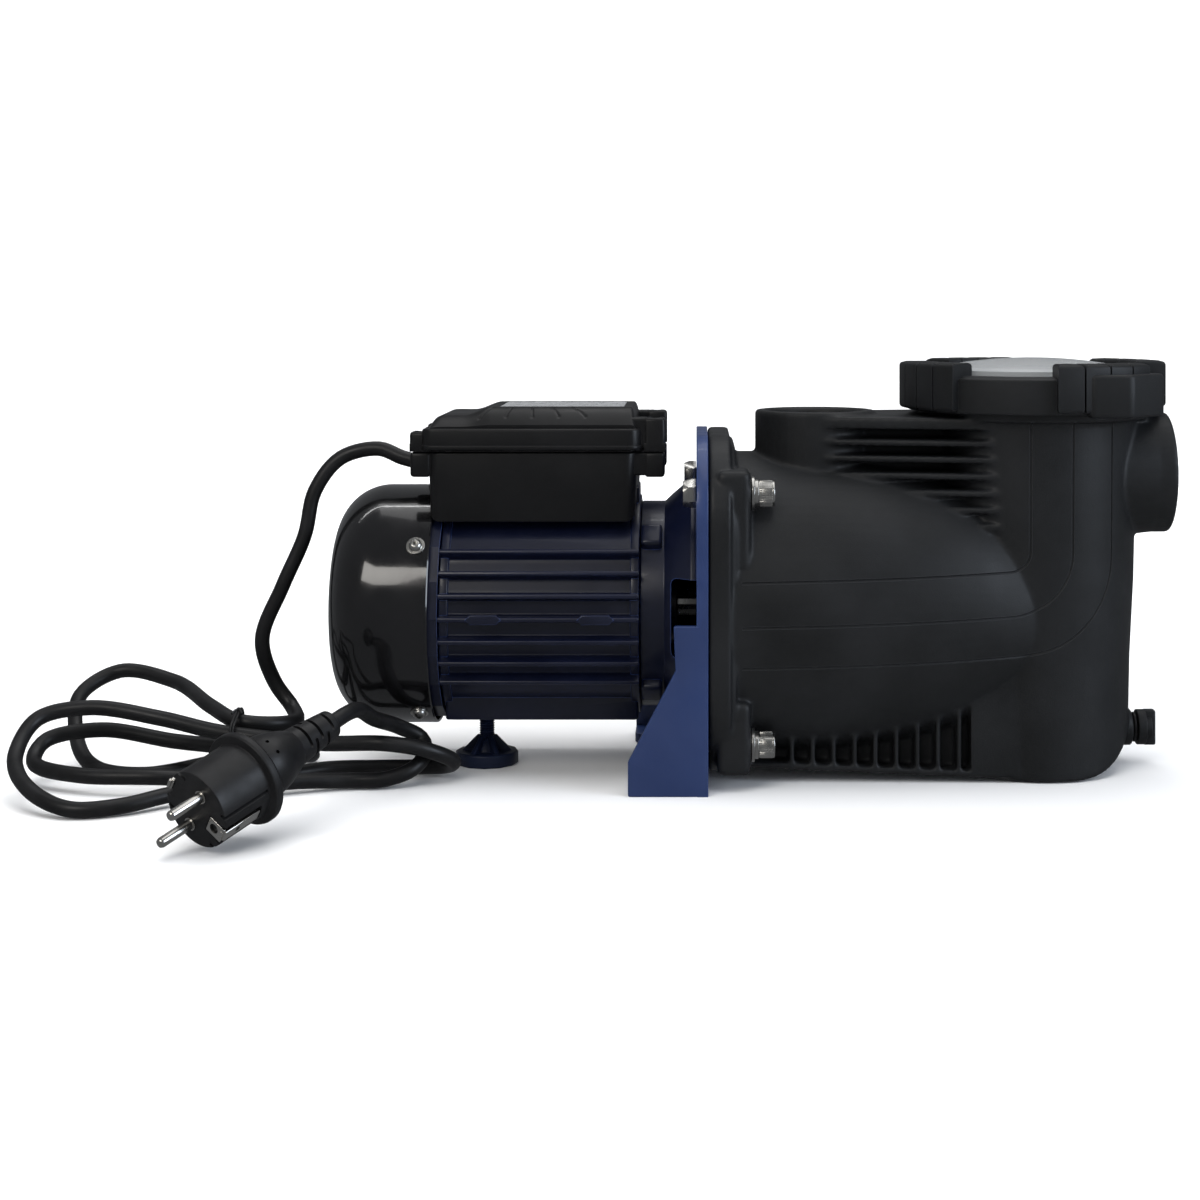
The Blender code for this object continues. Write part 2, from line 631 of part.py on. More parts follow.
def rear_end_shield():
    """Rear bell with the bearing seat and the rim that carries the fan cover's screws."""
    profile = [(0.0595, -0.1363), (0.0595, -0.1530), (0.0540, -0.1530), (0.0540, -0.1420)]
    profile += [(0.0210, -0.1420), (0.0210, -0.1445), (0.0095, -0.1445), (0.0095, -0.1415)]
    profile += [(0.0163, -0.1415), (0.0163, -0.1300), (0.0210, -0.1300), (0.0210, -0.1363)]
    shield = turned("rear_end_shield", profile, NAVY, closed=True)
    for angle in COVER_SCREW_ANGLES:
        cut(shield, cover_screw_hole(f"shield_hole_{angle}", angle, 0.0023))
    return shield


def radial(angle, radius, x=-0.148):
    """A point at an angle from +Y round the motor's axis."""
    turn = math.radians(angle)
    return (x, radius * math.cos(turn), SHAFT_Z + radius * math.sin(turn))


def cover_screw_hole(name, angle, radius):
    return rod(name, radius, radial(angle, 0.045), radial(angle, 0.075), sides=10)


def fan_cover():
    """Deep-drawn cap with a rounded end and a slotted grille."""
    outer, end, wall, bend = FAN_COVER_RADIUS, FAN_COVER_END, 0.0013, 0.027
    profile = [(outer, FAN_COVER_RIM)]
    profile += arc((outer - bend, end + bend), bend, 0, -75, 4)
    profile += [(0.0, end)]
    profile += [(0.0, end + wall)]
    profile += arc((outer - bend, end + bend), bend - wall, -75, 0, 4)
    profile += [(outer - wall, FAN_COVER_RIM)]
    cover = turned("fan_cover", profile, GLOSS_BLACK, closed=True, steps=22)
    for i in range(8):
        slot = block(f"grille_{i}", (-0.010, -0.0020, 0.0140), (0.010, 0.0020, 0.0330))
        slot.matrix_world = (
            Matrix.Translation((end, 0, SHAFT_Z))
            @ Matrix.Rotation(math.radians(45 * i), 4, "X")
            @ Matrix.Translation((0, 0, 0.0235))
        )
        cut(cover, slot)
    for i, angle in enumerate(COVER_SCREW_ANGLES, start=1):
        cut(cover, cover_screw_hole(f"cover_hole_{i}", angle, 0.0023))
        head = rod(f"fan_cover_screw_{i}", 0.0045, radial(angle, 0.0627), radial(angle, 0.0650), STEEL,
                   sides=10)
        unite(head, rod(f"screw_shank_{i}", 0.0019, radial(angle, 0.0560), radial(angle, 0.0640), sides=10))
    return cover


def rotor_parts():
    axis_at = {"at": (0, 0, SHAFT_Z)}
    shaft = [(0.0, 0.0280), (SHAFT_NOSE, 0.0280), (SHAFT_NOSE, 0.0138), (SHAFT_RADIUS, 0.0138)]
    shaft += [(SHAFT_RADIUS, -0.1880), (0.0, -0.1880)]
    turned("motor_shaft", shaft, STEEL, steps=16)
    tube("rotor_core", 0.0270, SHAFT_RADIUS + GAP, -0.1180, -0.0550, IRON, **axis_at)
    tube("front_bearing", BEARING_RADIUS, SHAFT_RADIUS + GAP, -0.0290, -0.0193, STEEL)
    tube("rear_bearing", BEARING_RADIUS, SHAFT_RADIUS + GAP, -0.1410, -0.1320, STEEL)
    fan = tube("cooling_fan", 0.0110, SHAFT_RADIUS + GAP, -0.1800, -0.1620, PLASTIC)
    unite(fan, tube("fan_disc", 0.0520, 0.0100, -0.1640, -0.1620))
    for i in range(8):
        blade = block(f"fan_blade_{i}", (-0.1790, -0.0009, 0.0100), (-0.1630, 0.0009, 0.0500))
        blade.location = (-0.1710, 0, SHAFT_Z)
        blade.matrix_world = (
            Matrix.Translation((-0.1710, 0, SHAFT_Z))
            @ Matrix.Rotation(math.radians(45 * i), 4, "X")
            @ Matrix.Translation((0, 0, 0.0300))
        )
        unite(fan, blade)


def stator():
    """Laminated core with twelve slots, and windings whose bars run through them."""
    start, end, slots = -0.1180, -0.0550, 12
    core = tube("stator_core", 0.0464, 0.0280, start, end, IRON, steps=22)
    coil = tube("stator_windings", 0.0430, 0.0310, end + GAP, end + 0.0140, COPPER, steps=22)
    unite(coil, tube("rear_winding", 0.0430, 0.0310, start - 0.0140, start - GAP, steps=22))
    for i in range(slots):
        angle = 2 * math.pi * i / slots
        y, z = 0.0360 * math.cos(angle), SHAFT_Z + 0.0360 * math.sin(angle)
        cut(core, rod(f"slot_{i}", 0.0040, (start - 0.01, y, z), (end + 0.01, y, z), sides=8))
        unite(coil, rod(f"bar_{i}", 0.0036, (start - 0.0041, y, z), (end + 0.0043, y, z), sides=6))


# ---------------------------------------------------------------- terminal box


def box_screw_places():
    return [(x, y) for x in (EAR_REAR_X, EAR_FRONT_X) for y in (-EAR_Y, EAR_Y)]


def terminal_box_base():
    """Box that straddles the round motor: its side walls hang lower than its floor."""
    low, high = (BOX_REAR, -BOX_HALF), (BOX_FRONT, BOX_HALF)
    base = slab("terminal_box_base", rounded_rectangle(low, high, 0.004, 3), "Z", BOX_SKIRT, BOX_RIM, SATIN)
    for i, (x, y) in enumerate(box_screw_places()):
        inner = BOX_REAR + 0.002 if x < LEAD_X else BOX_FRONT - 0.002
        ends = sorted((x, inner))
        unite(base, rod(f"ear_{i}", 0.0050, (x, y, 0.1540), (x, y, BOX_RIM), sides=10))
        unite(base, block(f"ear_root_{i}", (ends[0], y - 0.0045, 0.1545), (ends[1], y + 0.0045, BOX_RIM)))
    wall = 0.0025
    cut(
        base,
        block("box_inside", (BOX_REAR + wall, wall - BOX_HALF, BOX_FLOOR),
              (BOX_FRONT - wall, BOX_HALF - wall, 0.200)),
        rod("saddle_round", 0.0629, (-0.160, 0, SHAFT_Z), (-0.010, 0, SHAFT_Z), sides=40),
        block("saddle_flat", (-0.160, -0.0185, 0.100), (-0.010, 0.0185, BOX_SEAT_Z + GAP)),
        rod("box_lead_hole", 0.0080, (LEAD_X, 0, 0.130), (LEAD_X, 0, 0.160), sides=10),
        rod("gland_hole", 0.0062, (-0.150, GLAND_Y, GLAND_Z), (-0.130, GLAND_Y, GLAND_Z), sides=10),
    )
    for i, (x, y) in enumerate(box_screw_places()):
        cut(base, rod(f"ear_hole_{i}", 0.0019, (x, y, 0.150), (x, y, 0.180), sides=10))
    return base


def terminal_box_gasket():
    low, high = (BOX_REAR + 0.0003, -BOX_HALF + 0.0003), (BOX_FRONT - 0.0003, BOX_HALF - 0.0003)
    inner_low, inner_high = (low[0] + 0.0022, low[1] + 0.0022), (high[0] - 0.0022, high[1] - 0.0022)
    outer = rounded_rectangle(low, high, 0.0035, 3)
    inner = rounded_rectangle(inner_low, inner_high, 0.0015, 3)
    slab("terminal_box_gasket", [outer, inner[::-1]], "Z", BOX_RIM + GAP, BOX_RIM + 0.0011, RUBBER)


def terminal_box_lid():
    """Deep lid with a low step at the rear, a sloping brow and four screw ears."""
    floor = BOX_RIM + 0.0011 + GAP
    low, high = (LID_RIM_REAR, -LID_RIM_HALF), (LID_RIM_FRONT, LID_RIM_HALF)
    lid = slab("terminal_box_lid", rounded_rectangle(low, high, 0.005, 3), "Z", floor, 0.1790, SATIN)
    brow = [(-0.1420, 0.1780), (-0.1420, 0.1850), (-0.1250, 0.1852), (-0.1120, LID_TOP)]
    brow += [(-0.0370, LID_TOP), (-0.0370, 0.1780)]
    unite(lid, slab("lid_brow", brow, "Y", -0.0410, 0.0410))
    for i, (x, y) in enumerate(box_screw_places()):
        top, inner = (0.1778, LID_RIM_REAR + 0.003) if x < LEAD_X else (0.1850, LID_RIM_FRONT - 0.004)
        unite(lid, rod(f"lid_ear_{i}", 0.0055, (x, y, floor), (x, y, top), sides=10))
        root = sorted((x, inner))
        low, high = (root[0], y - 0.0044, floor), (root[1], y + 0.0044, top - 0.0008)
        unite(lid, block(f"lid_ear_root_{i}", low, high))
    cut(lid, block("lid_inside", (-0.1390, -0.0380, 0.160), (-0.0400, 0.0380, 0.1825)))
    seat = 0.1745
    for i, (x, y) in enumerate(box_screw_places(), start=1):
        cut(lid, rod(f"lid_screw_hole_{i}", 0.0023, (x, y, 0.160), (x, y, 0.190), sides=10))
        cut(lid, rod(f"lid_counterbore_{i}", 0.0042, (x, y, seat), (x, y, 0.190), sides=10))
        foot, top = (x, y, seat + GAP), (x, y, seat + 0.0024)
        head = rod(f"terminal_box_screw_{i}", 0.0036, foot, top, STEEL, sides=10)
        unite(head, rod(f"box_screw_shank_{i}", 0.0015, (x, y, 0.1600), (x, y, seat + 0.0010), sides=8))
    return lid


def box_contents():
    """Run capacitor, terminal block and the gland that grips the cord."""
    rod("capacitor", 0.0140, (-0.1120, 0.020, 0.1660), (-0.0450, 0.020, 0.1660), GLOSS_BLACK)
    block("terminal_block", (-0.0980, -0.0320, BOX_FLOOR + GAP), (-0.0580, -0.0160, 0.1640), CERAMIC)
    outside, inside = BOX_REAR - GAP, BOX_REAR + 0.0060
    profile = [(0.0046, inside), (0.0056, inside), (0.0055, outside), (0.0070, outside)]
    profile += [(0.0070, outside - 0.0080), (0.0060, outside - 0.0095), (0.0046, outside - 0.0095)]
    turned("cable_gland", profile, SATIN, at=(0, GLAND_Y, GLAND_Z), steps=16, closed=True)


# ---------------------------------------------------------------- adjustable foot


def adjustable_foot():
    """A disc on a stud, which screws into the motor frame, and the nut that locks it."""
    stud = [(0.0, 0.0370), (0.0040, 0.0370), (0.0040, 0.0120), (0.0160, 0.0067), (0.0165, 0.0015)]
    stud += [(0.0150, 0.0), (0.0, 0.0)]
    foot = turned("adjustable_foot", stud, NAVY_PLASTIC, axis=UP, at=(FOOT_X, 0, 0))
    rib = [(-0.0150, 0.0050), (0.0150, 0.0050), (0.0050, 0.0150), (0.0, 0.0150), (-0.0050, 0.0150)]
    for i in range(3):
        fin = slab(f"foot_rib_{i}", rib, "Y", -0.0012, 0.0012)
        fin.matrix_world = (
            Matrix.Translation((FOOT_X, 0, 0))
            @ Matrix.Rotation(math.radians(60 * i), 4, "Z")
            @ fin.matrix_world
        )
        unite(foot, fin)
    nut = rod("foot_lock_nut", 0.0073, (FOOT_X, 0, 0.0240), (FOOT_X, 0, SOLE_Z - GAP), STEEL, sides=6)
    return cut(nut, rod("foot_nut_bore", 0.0043, (FOOT_X, 0, 0.010), (FOOT_X, 0, 0.040), sides=10))


# ---------------------------------------------------------------- cord and plug


def cord_route():
    """From the plug, three turns of a loose figure tied behind it, then up into the gland."""
    right_loop = [(-171, -96, 47), (-166, -68, 37), (-157, -44, 28), (-147, -37, 21), (-144, -44, 15)]
    right_loop += [(-149, -54, 9), (-162, -59, 5), (-180, -60, 4.5), (-203, -68, 6)]
    outer_loop = [(-230, -80, 6), (-259, -94, 6), (-280, -112, 4.5), (-302, -118, 4.5), (-326, -103, 10)]
    outer_loop += [(-343, -72, 20), (-338, -52, 34), (-314, -45, 38), (-279, -46, 33), (-249, -54, 28)]
    far_loop = [(-229, -58, 26), (-196, -50, 21), (-162, -60, 23), (-142, -56, 19), (-130, -44, 11)]
    far_loop += [(-134, -34, 6), (-150, -30, 4.5), (-172, -31, 4.5), (-194, -36, 5), (-215, -50, 5)]
    inner_loop = [(-248, -62, 6), (-277, -72, 9), (-313, -68, 9), (-342, -47, 11), (-340, -33, 19)]
    inner_loop += [(-314, -27, 23), (-273, -36, 19), (-237, -47, 18), (-216, -32, 12), (-208, -8, 6)]
    high_loop = [(-222, 12, 5), (-245, 4, 5), (-262, -28, 5), (-286, -47, 4.5), (-315, -33, 5)]
    high_loop += [(-333, -5, 15), (-337, 16, 33), (-320, 30, 43), (-288, 18, 40), (-257, -25, 34.5)]
    rise = [(-239, -44, 31), (-222, -41, 29), (-213, -27, 28), (-218, -12, 32), (-228, -9, 45)]
    rise += [(-233, -15, 68), (-222, -16, 96), (-211, -14, 122), (-206, -12, 145), (-193, -10, 162)]
    rise += [(-173, -10, 167), (-160, -12.5, 162.5), (-151, -13, 160.5), (-126, -13, 160.5)]
    millimetres = right_loop + outer_loop + far_loop + inner_loop + high_loop + rise
    places = [Vector(place) / 1000 for place in millimetres]
    along = (PLUG_END - PLUG_FACE).normalized()
    return [PLUG_END - along * 0.022, PLUG_END, *places]


def belt(radius):
    """Outline pulled tight round circles at the tied cords."""
    rim = [Vector(point) for place in TIED_CORDS for point in arc(place, radius, 0, 330, 12)]
    return [tuple(rim[i]) for i in convex_hull_2d(rim)]


def power_cord():
    wire("power_cord", smooth_route(cord_route(), 0.018), CORD_RADIUS, RUBBER)
    band = [belt(CORD_RADIUS + 0.0026), belt(CORD_RADIUS + 0.0014)]
    slab("cord_tie", band, "X", TIE_X - 0.0012, TIE_X + 0.0012, RUBBER)


def plug_matrix():
    """Local +Z runs along the plug from its face to its cord, and local X joins the pins."""
    along = (PLUG_END - PLUG_FACE).normalized()
    level = along.cross(UP).normalized()
    drop = along.cross(level).normalized()
    frame = Matrix((level, drop, along)).transposed()
    return Matrix.Translation(PLUG_FACE) @ (frame @ Matrix.Rotation(PLUG_ROLL, 3, "Z")).to_4x4()


def plug():
    """Round moulded plug with two pins, side earth contacts and a ribbed strain relief."""
    matrix = plug_matrix()
    profile = [(0.0068, 0.0850), (0.0090, 0.0620), (0.0112, 0.0570), (0.0138, 0.0500), (0.0140, 0.0340)]
    profile += [(0.0222, 0.0320), (0.0222, 0.0275), (0.0183, 0.0270), (0.0183, 0.0), (0.0, 0.0)]
    profile = [(0.0, 0.0850), *profile]
    body = turned("plug_body", profile, RUBBER, axis=UP, at=(0, 0, 0), steps=22)
    body.matrix_world = matrix
    bore = rod("plug_cord_bore", CORD_RADIUS + 2 * GAP, (0, 0, 0.060), (0, 0, 0.100), sides=10)
    bore.matrix_world = matrix @ Matrix.Translation((0, 0, 0.080))
    cut(body, bore)
    for i, side in enumerate((-1, 1), start=1):
        pin_at = side * 0.0095
        hole = rod(f"pin_hole_{i}", 0.0027, (0, 0, -0.010), (0, 0, 0.0103), sides=10)
        hole.matrix_world = matrix @ Matrix.Translation((pin_at, 0, 0.0))
        cut(body, hole)
        pin = [(0.0, 0.0080), (0.0024, 0.0080), (0.0024, -0.0175), (0.0015, -0.0190), (0.0, -0.0190)]
        turned(f"plug_pin_{i}", pin, STEEL, axis=UP, at=(0, 0, 0), steps=12).matrix_world = (
            matrix @ Matrix.Translation((pin_at, 0, 0))
        )
        outer = side * 0.0186
        low, high = sorted((outer, side * 0.0160))
        notch = block(f"earth_notch_{i}", (0, 0, 0), (0.0070, 0.0110, 0.0270))
        notch.matrix_world = matrix @ Matrix.Translation((0, side * 0.0185, 0.0085))
        notch.matrix_world = notch.matrix_world @ Matrix.Rotation(math.pi / 2, 4, "Z")
        cut(body, notch)
        clip = block(f"plug_earth_clip_{i}", (-0.0030, low, 0.0005), (0.0030, high, 0.0215), STEEL)
        clip.matrix_world = matrix @ clip.matrix_basis
    return body


def build():
    pump_housing()
    seal_plate()
    impeller()
    diffuser()
    lid_lens()
    lid_locking_ring()
    lid_o_ring()
    strainer_basket()
    drain_plug()
    mounting_bracket()
    flange_bolts()
    motor_frame()
    front_end_bracket()
    rear_end_shield()
    fan_cover()
    rotor_parts()
    stator()
    terminal_box_base()
    terminal_box_gasket()
    terminal_box_lid()
    box_contents()
    adjustable_foot()
    power_cord()
    plug()


clear_scene()
PARTS = new_collection(NAME)
CUTTERS = new_collection(NAME + "_cutters")
HOME = bpy.data.objects.new(NAME + "_origin", None)
PARTS.objects.link(HOME)
PLASTIC = material("black_plastic", (0.018, 0.019, 0.021), 0.55)
SATIN = material("satin_plastic", (0.012, 0.012, 0.013), 0.38)
GLOSS_BLACK = material("gloss_black_paint", (0.008, 0.008, 0.009), 0.12)
NAVY = material("navy_paint", (0.010, 0.014, 0.045), 0.25)
NAVY_PLASTIC = material("navy_plastic", (0.012, 0.016, 0.040), 0.45)
BLUE_DARK = material("dark_blue_paint", (0.015, 0.025, 0.085), 0.30)
BLUE = material("bracket_blue_paint", (0.025, 0.050, 0.165), 0.35)
STEEL = material("stainless_steel", (0.60, 0.59, 0.57), 0.25, 1.0)
IRON = material("electrical_iron", (0.20, 0.20, 0.21), 0.45, 1.0)
COPPER = material("copper_winding", (0.55, 0.22, 0.10), 0.35, 1.0)
RUBBER = material("black_rubber", (0.012, 0.012, 0.013), 0.50)
CERAMIC = material("ceramic", (0.75, 0.73, 0.68), 0.40)
LENS = material("clear_lens", (0.45, 0.47, 0.50), 0.15)
build()
HOME.location.x = (BRACKET_THICK + GAP) / 2
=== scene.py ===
"""Looks of the pool pump: fine meshes, procedural materials, and a plain pale studio.

Pieces are laid out in metres from the joint between mounting bracket and pump housing, on the
floor below the shaft, with +X from the motor to the strainer pot, and are then moved to the frame.
"""

import json
import math

import bmesh
import bpy
from mathutils import Matrix, Vector
from mathutils.bvhtree import BVHTree
from mathutils.geometry import convex_hull_2d


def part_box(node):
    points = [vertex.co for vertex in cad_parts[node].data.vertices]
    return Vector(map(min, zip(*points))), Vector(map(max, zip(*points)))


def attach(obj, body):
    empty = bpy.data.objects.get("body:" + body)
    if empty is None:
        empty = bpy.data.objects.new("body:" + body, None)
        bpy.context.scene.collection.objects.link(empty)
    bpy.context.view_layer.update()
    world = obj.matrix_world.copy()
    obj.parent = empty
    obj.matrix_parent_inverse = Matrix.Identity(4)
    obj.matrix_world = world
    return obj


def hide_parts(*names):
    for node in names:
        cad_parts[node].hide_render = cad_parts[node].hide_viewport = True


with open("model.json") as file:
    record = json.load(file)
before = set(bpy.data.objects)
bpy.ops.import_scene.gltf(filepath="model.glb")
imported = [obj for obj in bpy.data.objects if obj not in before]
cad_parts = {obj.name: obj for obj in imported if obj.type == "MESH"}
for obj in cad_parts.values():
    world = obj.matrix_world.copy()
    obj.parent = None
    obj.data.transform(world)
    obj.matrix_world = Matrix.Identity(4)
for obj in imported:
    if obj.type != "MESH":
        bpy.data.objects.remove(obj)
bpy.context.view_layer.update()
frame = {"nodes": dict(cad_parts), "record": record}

UP = Vector((0, 0, 1))
ALONG = Vector((1, 0, 0))
ACROSS = Vector((0, 1, 0))
EVEN = (1, 1, 1)
FACING = {
    "X": Matrix(((0, 0, 1, 0), (1, 0, 0, 0), (0, 1, 0, 0), (0, 0, 0, 1))),
    "Y": Matrix(((1, 0, 0, 0), (0, 0, -1, 0), (0, 1, 0, 0), (0, 0, 0, 1))),
    "Z": Matrix.Identity(4),
}


def low_of(node):
    """Lowest corner of a CAD node, measured from the joint face."""
    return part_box(node)[0] - JOINT


def high_of(node):
    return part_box(node)[1] - JOINT


def middle_of(node):
    return (low_of(node) + high_of(node)) / 2


# Places that come from the frame
JOINT = Vector((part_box("pump_housing")[0].x, 0, 0))
SHAFT_Z = round(middle_of("motor_shaft").z, 4)
POT_X = round(middle_of("lid_lens").x, 4)
PORT_END = high_of("pump_housing").x
MOTOR_REAR, MOTOR_FRONT = low_of("motor_frame").x, high_of("motor_frame").x
COVER_END, COVER_RIM = low_of("fan_cover").x, high_of("fan_cover").x
COVER_RADIUS = high_of("fan_cover").y
BRACKET_HALF, BRACKET_TOP = high_of("mounting_bracket").y, high_of("mounting_bracket").z
SOLE_Z = low_of("motor_frame").z
BOX_LOW, BOX_HIGH = low_of("terminal_box_base"), high_of("terminal_box_base")
LID_LOW, LID_HIGH = low_of("terminal_box_lid"), high_of("terminal_box_lid")
FOOT = middle_of("adjustable_foot")
DRAIN = middle_of("drain_plug")

# Driving sizes
BRACKET_BACK = -0.0061
BOLT_Y, BOLT_RISE = 0.058, 0.063
BOLT_FACE = 0.0213
VOLUTE_RADIUS, VOLUTE_LENGTH, VOLUTE_MIDDLE, VOLUTE_FLATTENING = 0.080, 0.168, 0.045, 0.915
POT_RADIUS, POT_TOP, NECK_RADIUS, NECK_TOP = 0.054, 0.185, 0.059, 0.197
PORT_RADIUS, PORT_BORE = 0.0316, 0.025
DISCHARGE_X, DISCHARGE_TOP, SUCTION_Z = 0.0565, 0.187, 0.154
SKIRT_HALF, WEB_HALF = 0.0475, 0.036
# Height on the volute, x on the pot and bend radius of each moulded line
MOULDED_LINES = ((0.1075, 0.1625, 0.010), (0.0855, 0.1840, 0.032), (0.0650, 0.2055, 0.050))
MOTOR_RADIUS, FIN_TIP, MOTOR_BORE = 0.0555, 0.062, 0.0473
BOX_REAR, BOX_FRONT, BOX_HALF = -0.1432, -0.0366, 0.042
LID_REAR, LID_FRONT, LID_HALF = -0.1462, -0.0344, 0.0455
EAR_REAR_X, EAR_FRONT_X, EAR_Y = -0.1472, -0.0275, 0.035
GLAND_Y, GLAND_Z = -0.013, 0.1605
TIE_X = -0.2385
# (y, z) of the cords where the tie crosses them
TIED_CORDS = ((-0.0568, 0.0269), (-0.0471, 0.0182), (-0.0436, 0.0313))
CORD_RADIUS = 0.0039
PLUG_FACE = Vector((-0.227, -0.182, 0.020))
PLUG_END = Vector((-0.180, -0.116, 0.044))
CORNERS = ((-1, -1), (-1, 1), (1, -1), (1, 1))
SIDES = (-1, 1)
COVER_SCREW_ANGLES = (55, 145, 235, 325)
CROWN_REAR, CROWN_FRONT, CROWN_HALF, CROWN_FOOT = -0.1425, -0.0370, 0.0425, 0.1790
PANEL_REAR, PANEL_FRONT, PANEL_HALF = -0.1085, -0.0430, 0.0265
SCREW_SEAT = 0.1745
# Radius of a bolt hole, of a nut to its corners and of its bore, and the pitch of an M8 thread
BOLT_HOLE, NUT_CORNER, NUT_BORE, THREAD_PITCH = 0.0044, 0.0073, 0.0043, 0.00125
PIN_X = 0.0095


# ---- materials


def new_look(name, colour, roughness, **inputs):
    """A Principled material. Other inputs are named with underscores for spaces."""
    look = bpy.data.materials.new(name)
    look.use_nodes = True
    shader = look.node_tree.nodes["Principled BSDF"]
    shader.inputs["Base Color"].default_value = (*colour, 1.0)
    shader.inputs["Roughness"].default_value = roughness
    for key, value in inputs.items():
        shader.inputs[key.replace("_", " ")].default_value = value
    look.diffuse_color = (*colour, 1.0)
    return look


def node(look, kind, inputs=(), **fields):
    made = look.node_tree.nodes.new(kind)
    for key, value in fields.items():
        setattr(made, key, value)
    for key, value in dict(inputs).items():
        made.inputs[key].default_value = value
    return made


def wire_up(look, source, output, target, socket):
    look.node_tree.links.new(source.outputs[output], target.inputs[socket])


def shader_of(look):
    return look.node_tree.nodes["Principled BSDF"]


def noise(look, scale, detail=3.0, stretch=EVEN):
    """Noise in the piece's own metres, stretched along an axis when asked."""
    place = node(look, "ShaderNodeTexCoord")
    mapping = node(look, "ShaderNodeMapping", {"Scale": stretch})
    texture = node(look, "ShaderNodeTexNoise", {"Scale": scale, "Detail": detail})
    wire_up(look, place, "Object", mapping, "Vector")
    wire_up(look, mapping, "Vector", texture, "Vector")
    return texture


def vary_colour(look, colour, other, scale, stretch=EVEN):
    """Clouds the base colour between two shades."""
    texture = noise(look, scale, 4.0, stretch)
    ramp = node(look, "ShaderNodeValToRGB")
    ramp.color_ramp.elements[0].position = 0.35
    ramp.color_ramp.elements[0].color = (*colour, 1.0)
    ramp.color_ramp.elements[1].position = 0.68
    ramp.color_ramp.elements[1].color = (*other, 1.0)
    wire_up(look, texture, "Fac", ramp, "Fac")
    wire_up(look, ramp, "Color", shader_of(look), "Base Color")
    return ramp


def vary_roughness(look, low, high, scale, stretch=EVEN):
    texture = noise(look, scale, 5.0, stretch)
    spread = node(look, "ShaderNodeMapRange",
                  {"From Min": 0.3, "From Max": 0.7, "To Min": low, "To Max": high})
    wire_up(look, texture, "Fac", spread, "Value")
    wire_up(look, spread, "Result", shader_of(look), "Roughness")


def relief(look, layers):
    """Stacks bumps of (scale, height in metres, stretch), the coarse one first."""
    normal = None
    for scale, height, stretch in layers:
        texture = noise(look, scale, 2.0, stretch)
        bump = node(look, "ShaderNodeBump", {"Strength": 1.0, "Distance": height})
        wire_up(look, texture, "Fac", bump, "Height")
        if normal is not None:
            wire_up(look, normal, "Normal", bump, "Normal")
        normal = bump
    wire_up(look, normal, "Normal", shader_of(look), "Normal")
    if "Coat Normal" in shader_of(look).inputs:
        wire_up(look, normal, "Normal", shader_of(look), "Coat Normal")


def painted_edge_highlight(look, ramp, edge_colour, width=0.0007):
    """Paints a highlight on edges, where a rounded normal leaves the flat one, over the clouded base colour.
    """
    flat = node(look, "ShaderNodeNewGeometry")
    rounded = node(look, "ShaderNodeBevel", {"Radius": width}, samples=4)
    match = node(look, "ShaderNodeVectorMath", operation="DOT_PRODUCT")
    spread = node(look, "ShaderNodeMapRange",
                  {"From Min": 0.985, "From Max": 0.80, "To Min": 0.0, "To Max": 1.0})
    # Painted highlight: the edge colour is mixed in wherever the bevelled normal turns away from the flat
    # one.
    mix = node(look, "ShaderNodeMixRGB", {"Color2": (*edge_colour, 1.0)})
    look.node_tree.links.new(flat.outputs["Normal"], match.inputs[0])
    look.node_tree.links.new(rounded.outputs["Normal"], match.inputs[1])
    wire_up(look, match, "Value", spread, "Value")
    wire_up(look, spread, "Result", mix, "Fac")
    wire_up(look, ramp, "Color", mix, "Color1")
    wire_up(look, mix, "Color", shader_of(look), "Base Color")


def moulded_plastic(name, colour, other, roughness, grain):
    look = new_look(name, colour, roughness, IOR=1.46, Specular_IOR_Level=0.32)
    ramp = vary_colour(look, colour, other, 22.0)
    # Painted highlight on the edges, twice as light as the clouded base colour.
    painted_edge_highlight(look, ramp, tuple(2.0 * c for c in other))
    vary_roughness(look, roughness - 0.06, roughness + 0.08, 35.0)
    relief(look, [(140.0, 0.00006, EVEN), (1500.0, grain, EVEN)])
    return look


def enamel(name, colour, other, edge, roughness, peel, coat):
    look = new_look(name, colour, roughness, Coat_Weight=coat, Coat_Roughness=0.05)
    ramp = vary_colour(look, colour, other, 30.0)
    # The edge colour is a painted highlight along the edges.
    painted_edge_highlight(look, ramp, edge)
    vary_roughness(look, roughness, roughness + 0.12, 60.0)
    relief(look, [(260.0, peel, EVEN), (1200.0, peel * 0.25, EVEN)])
    return look


def steel(name, colour, roughness, stretch):
    look = new_look(name, colour, roughness, Metallic=1.0)
    vary_colour(look, colour, tuple(0.82 * c for c in colour), 120.0, stretch)
    vary_roughness(look, roughness, roughness + 0.16, 300.0, stretch)
    relief(look, [(900.0, 0.00002, stretch)])
    return look


def soft_rubber(name, colour, other, roughness, grain):
    look = new_look(name, colour, roughness, Specular_IOR_Level=0.35)
    vary_colour(look, colour, other, 60.0)
    vary_roughness(look, roughness - 0.05, roughness + 0.12, 90.0)
    relief(look, [(180.0, 0.00005, EVEN), (1400.0, grain, EVEN)])
    return look


def smoked_lens():
    tint = (0.60, 0.61, 0.61)
    look = new_look("lens_look", tint, 0.16, IOR=1.49, Transmission_Weight=0.5)
    vary_colour(look, tint, (0.53, 0.55, 0.56), 18.0)
    vary_roughness(look, 0.12, 0.24, 40.0)
    relief(look, [(60.0, 0.00008, EVEN)])
    return look


def laminated_iron():
    look = new_look("iron_look", (0.20, 0.20, 0.21), 0.45, Metallic=1.0)
    vary_colour(look, (0.13, 0.13, 0.14), (0.28, 0.28, 0.29), 900.0, (1, 0.02, 0.02))
    vary_roughness(look, 0.35, 0.6, 80.0)
    relief(look, [(900.0, 0.00008, (1, 0.02, 0.02))])
    return look


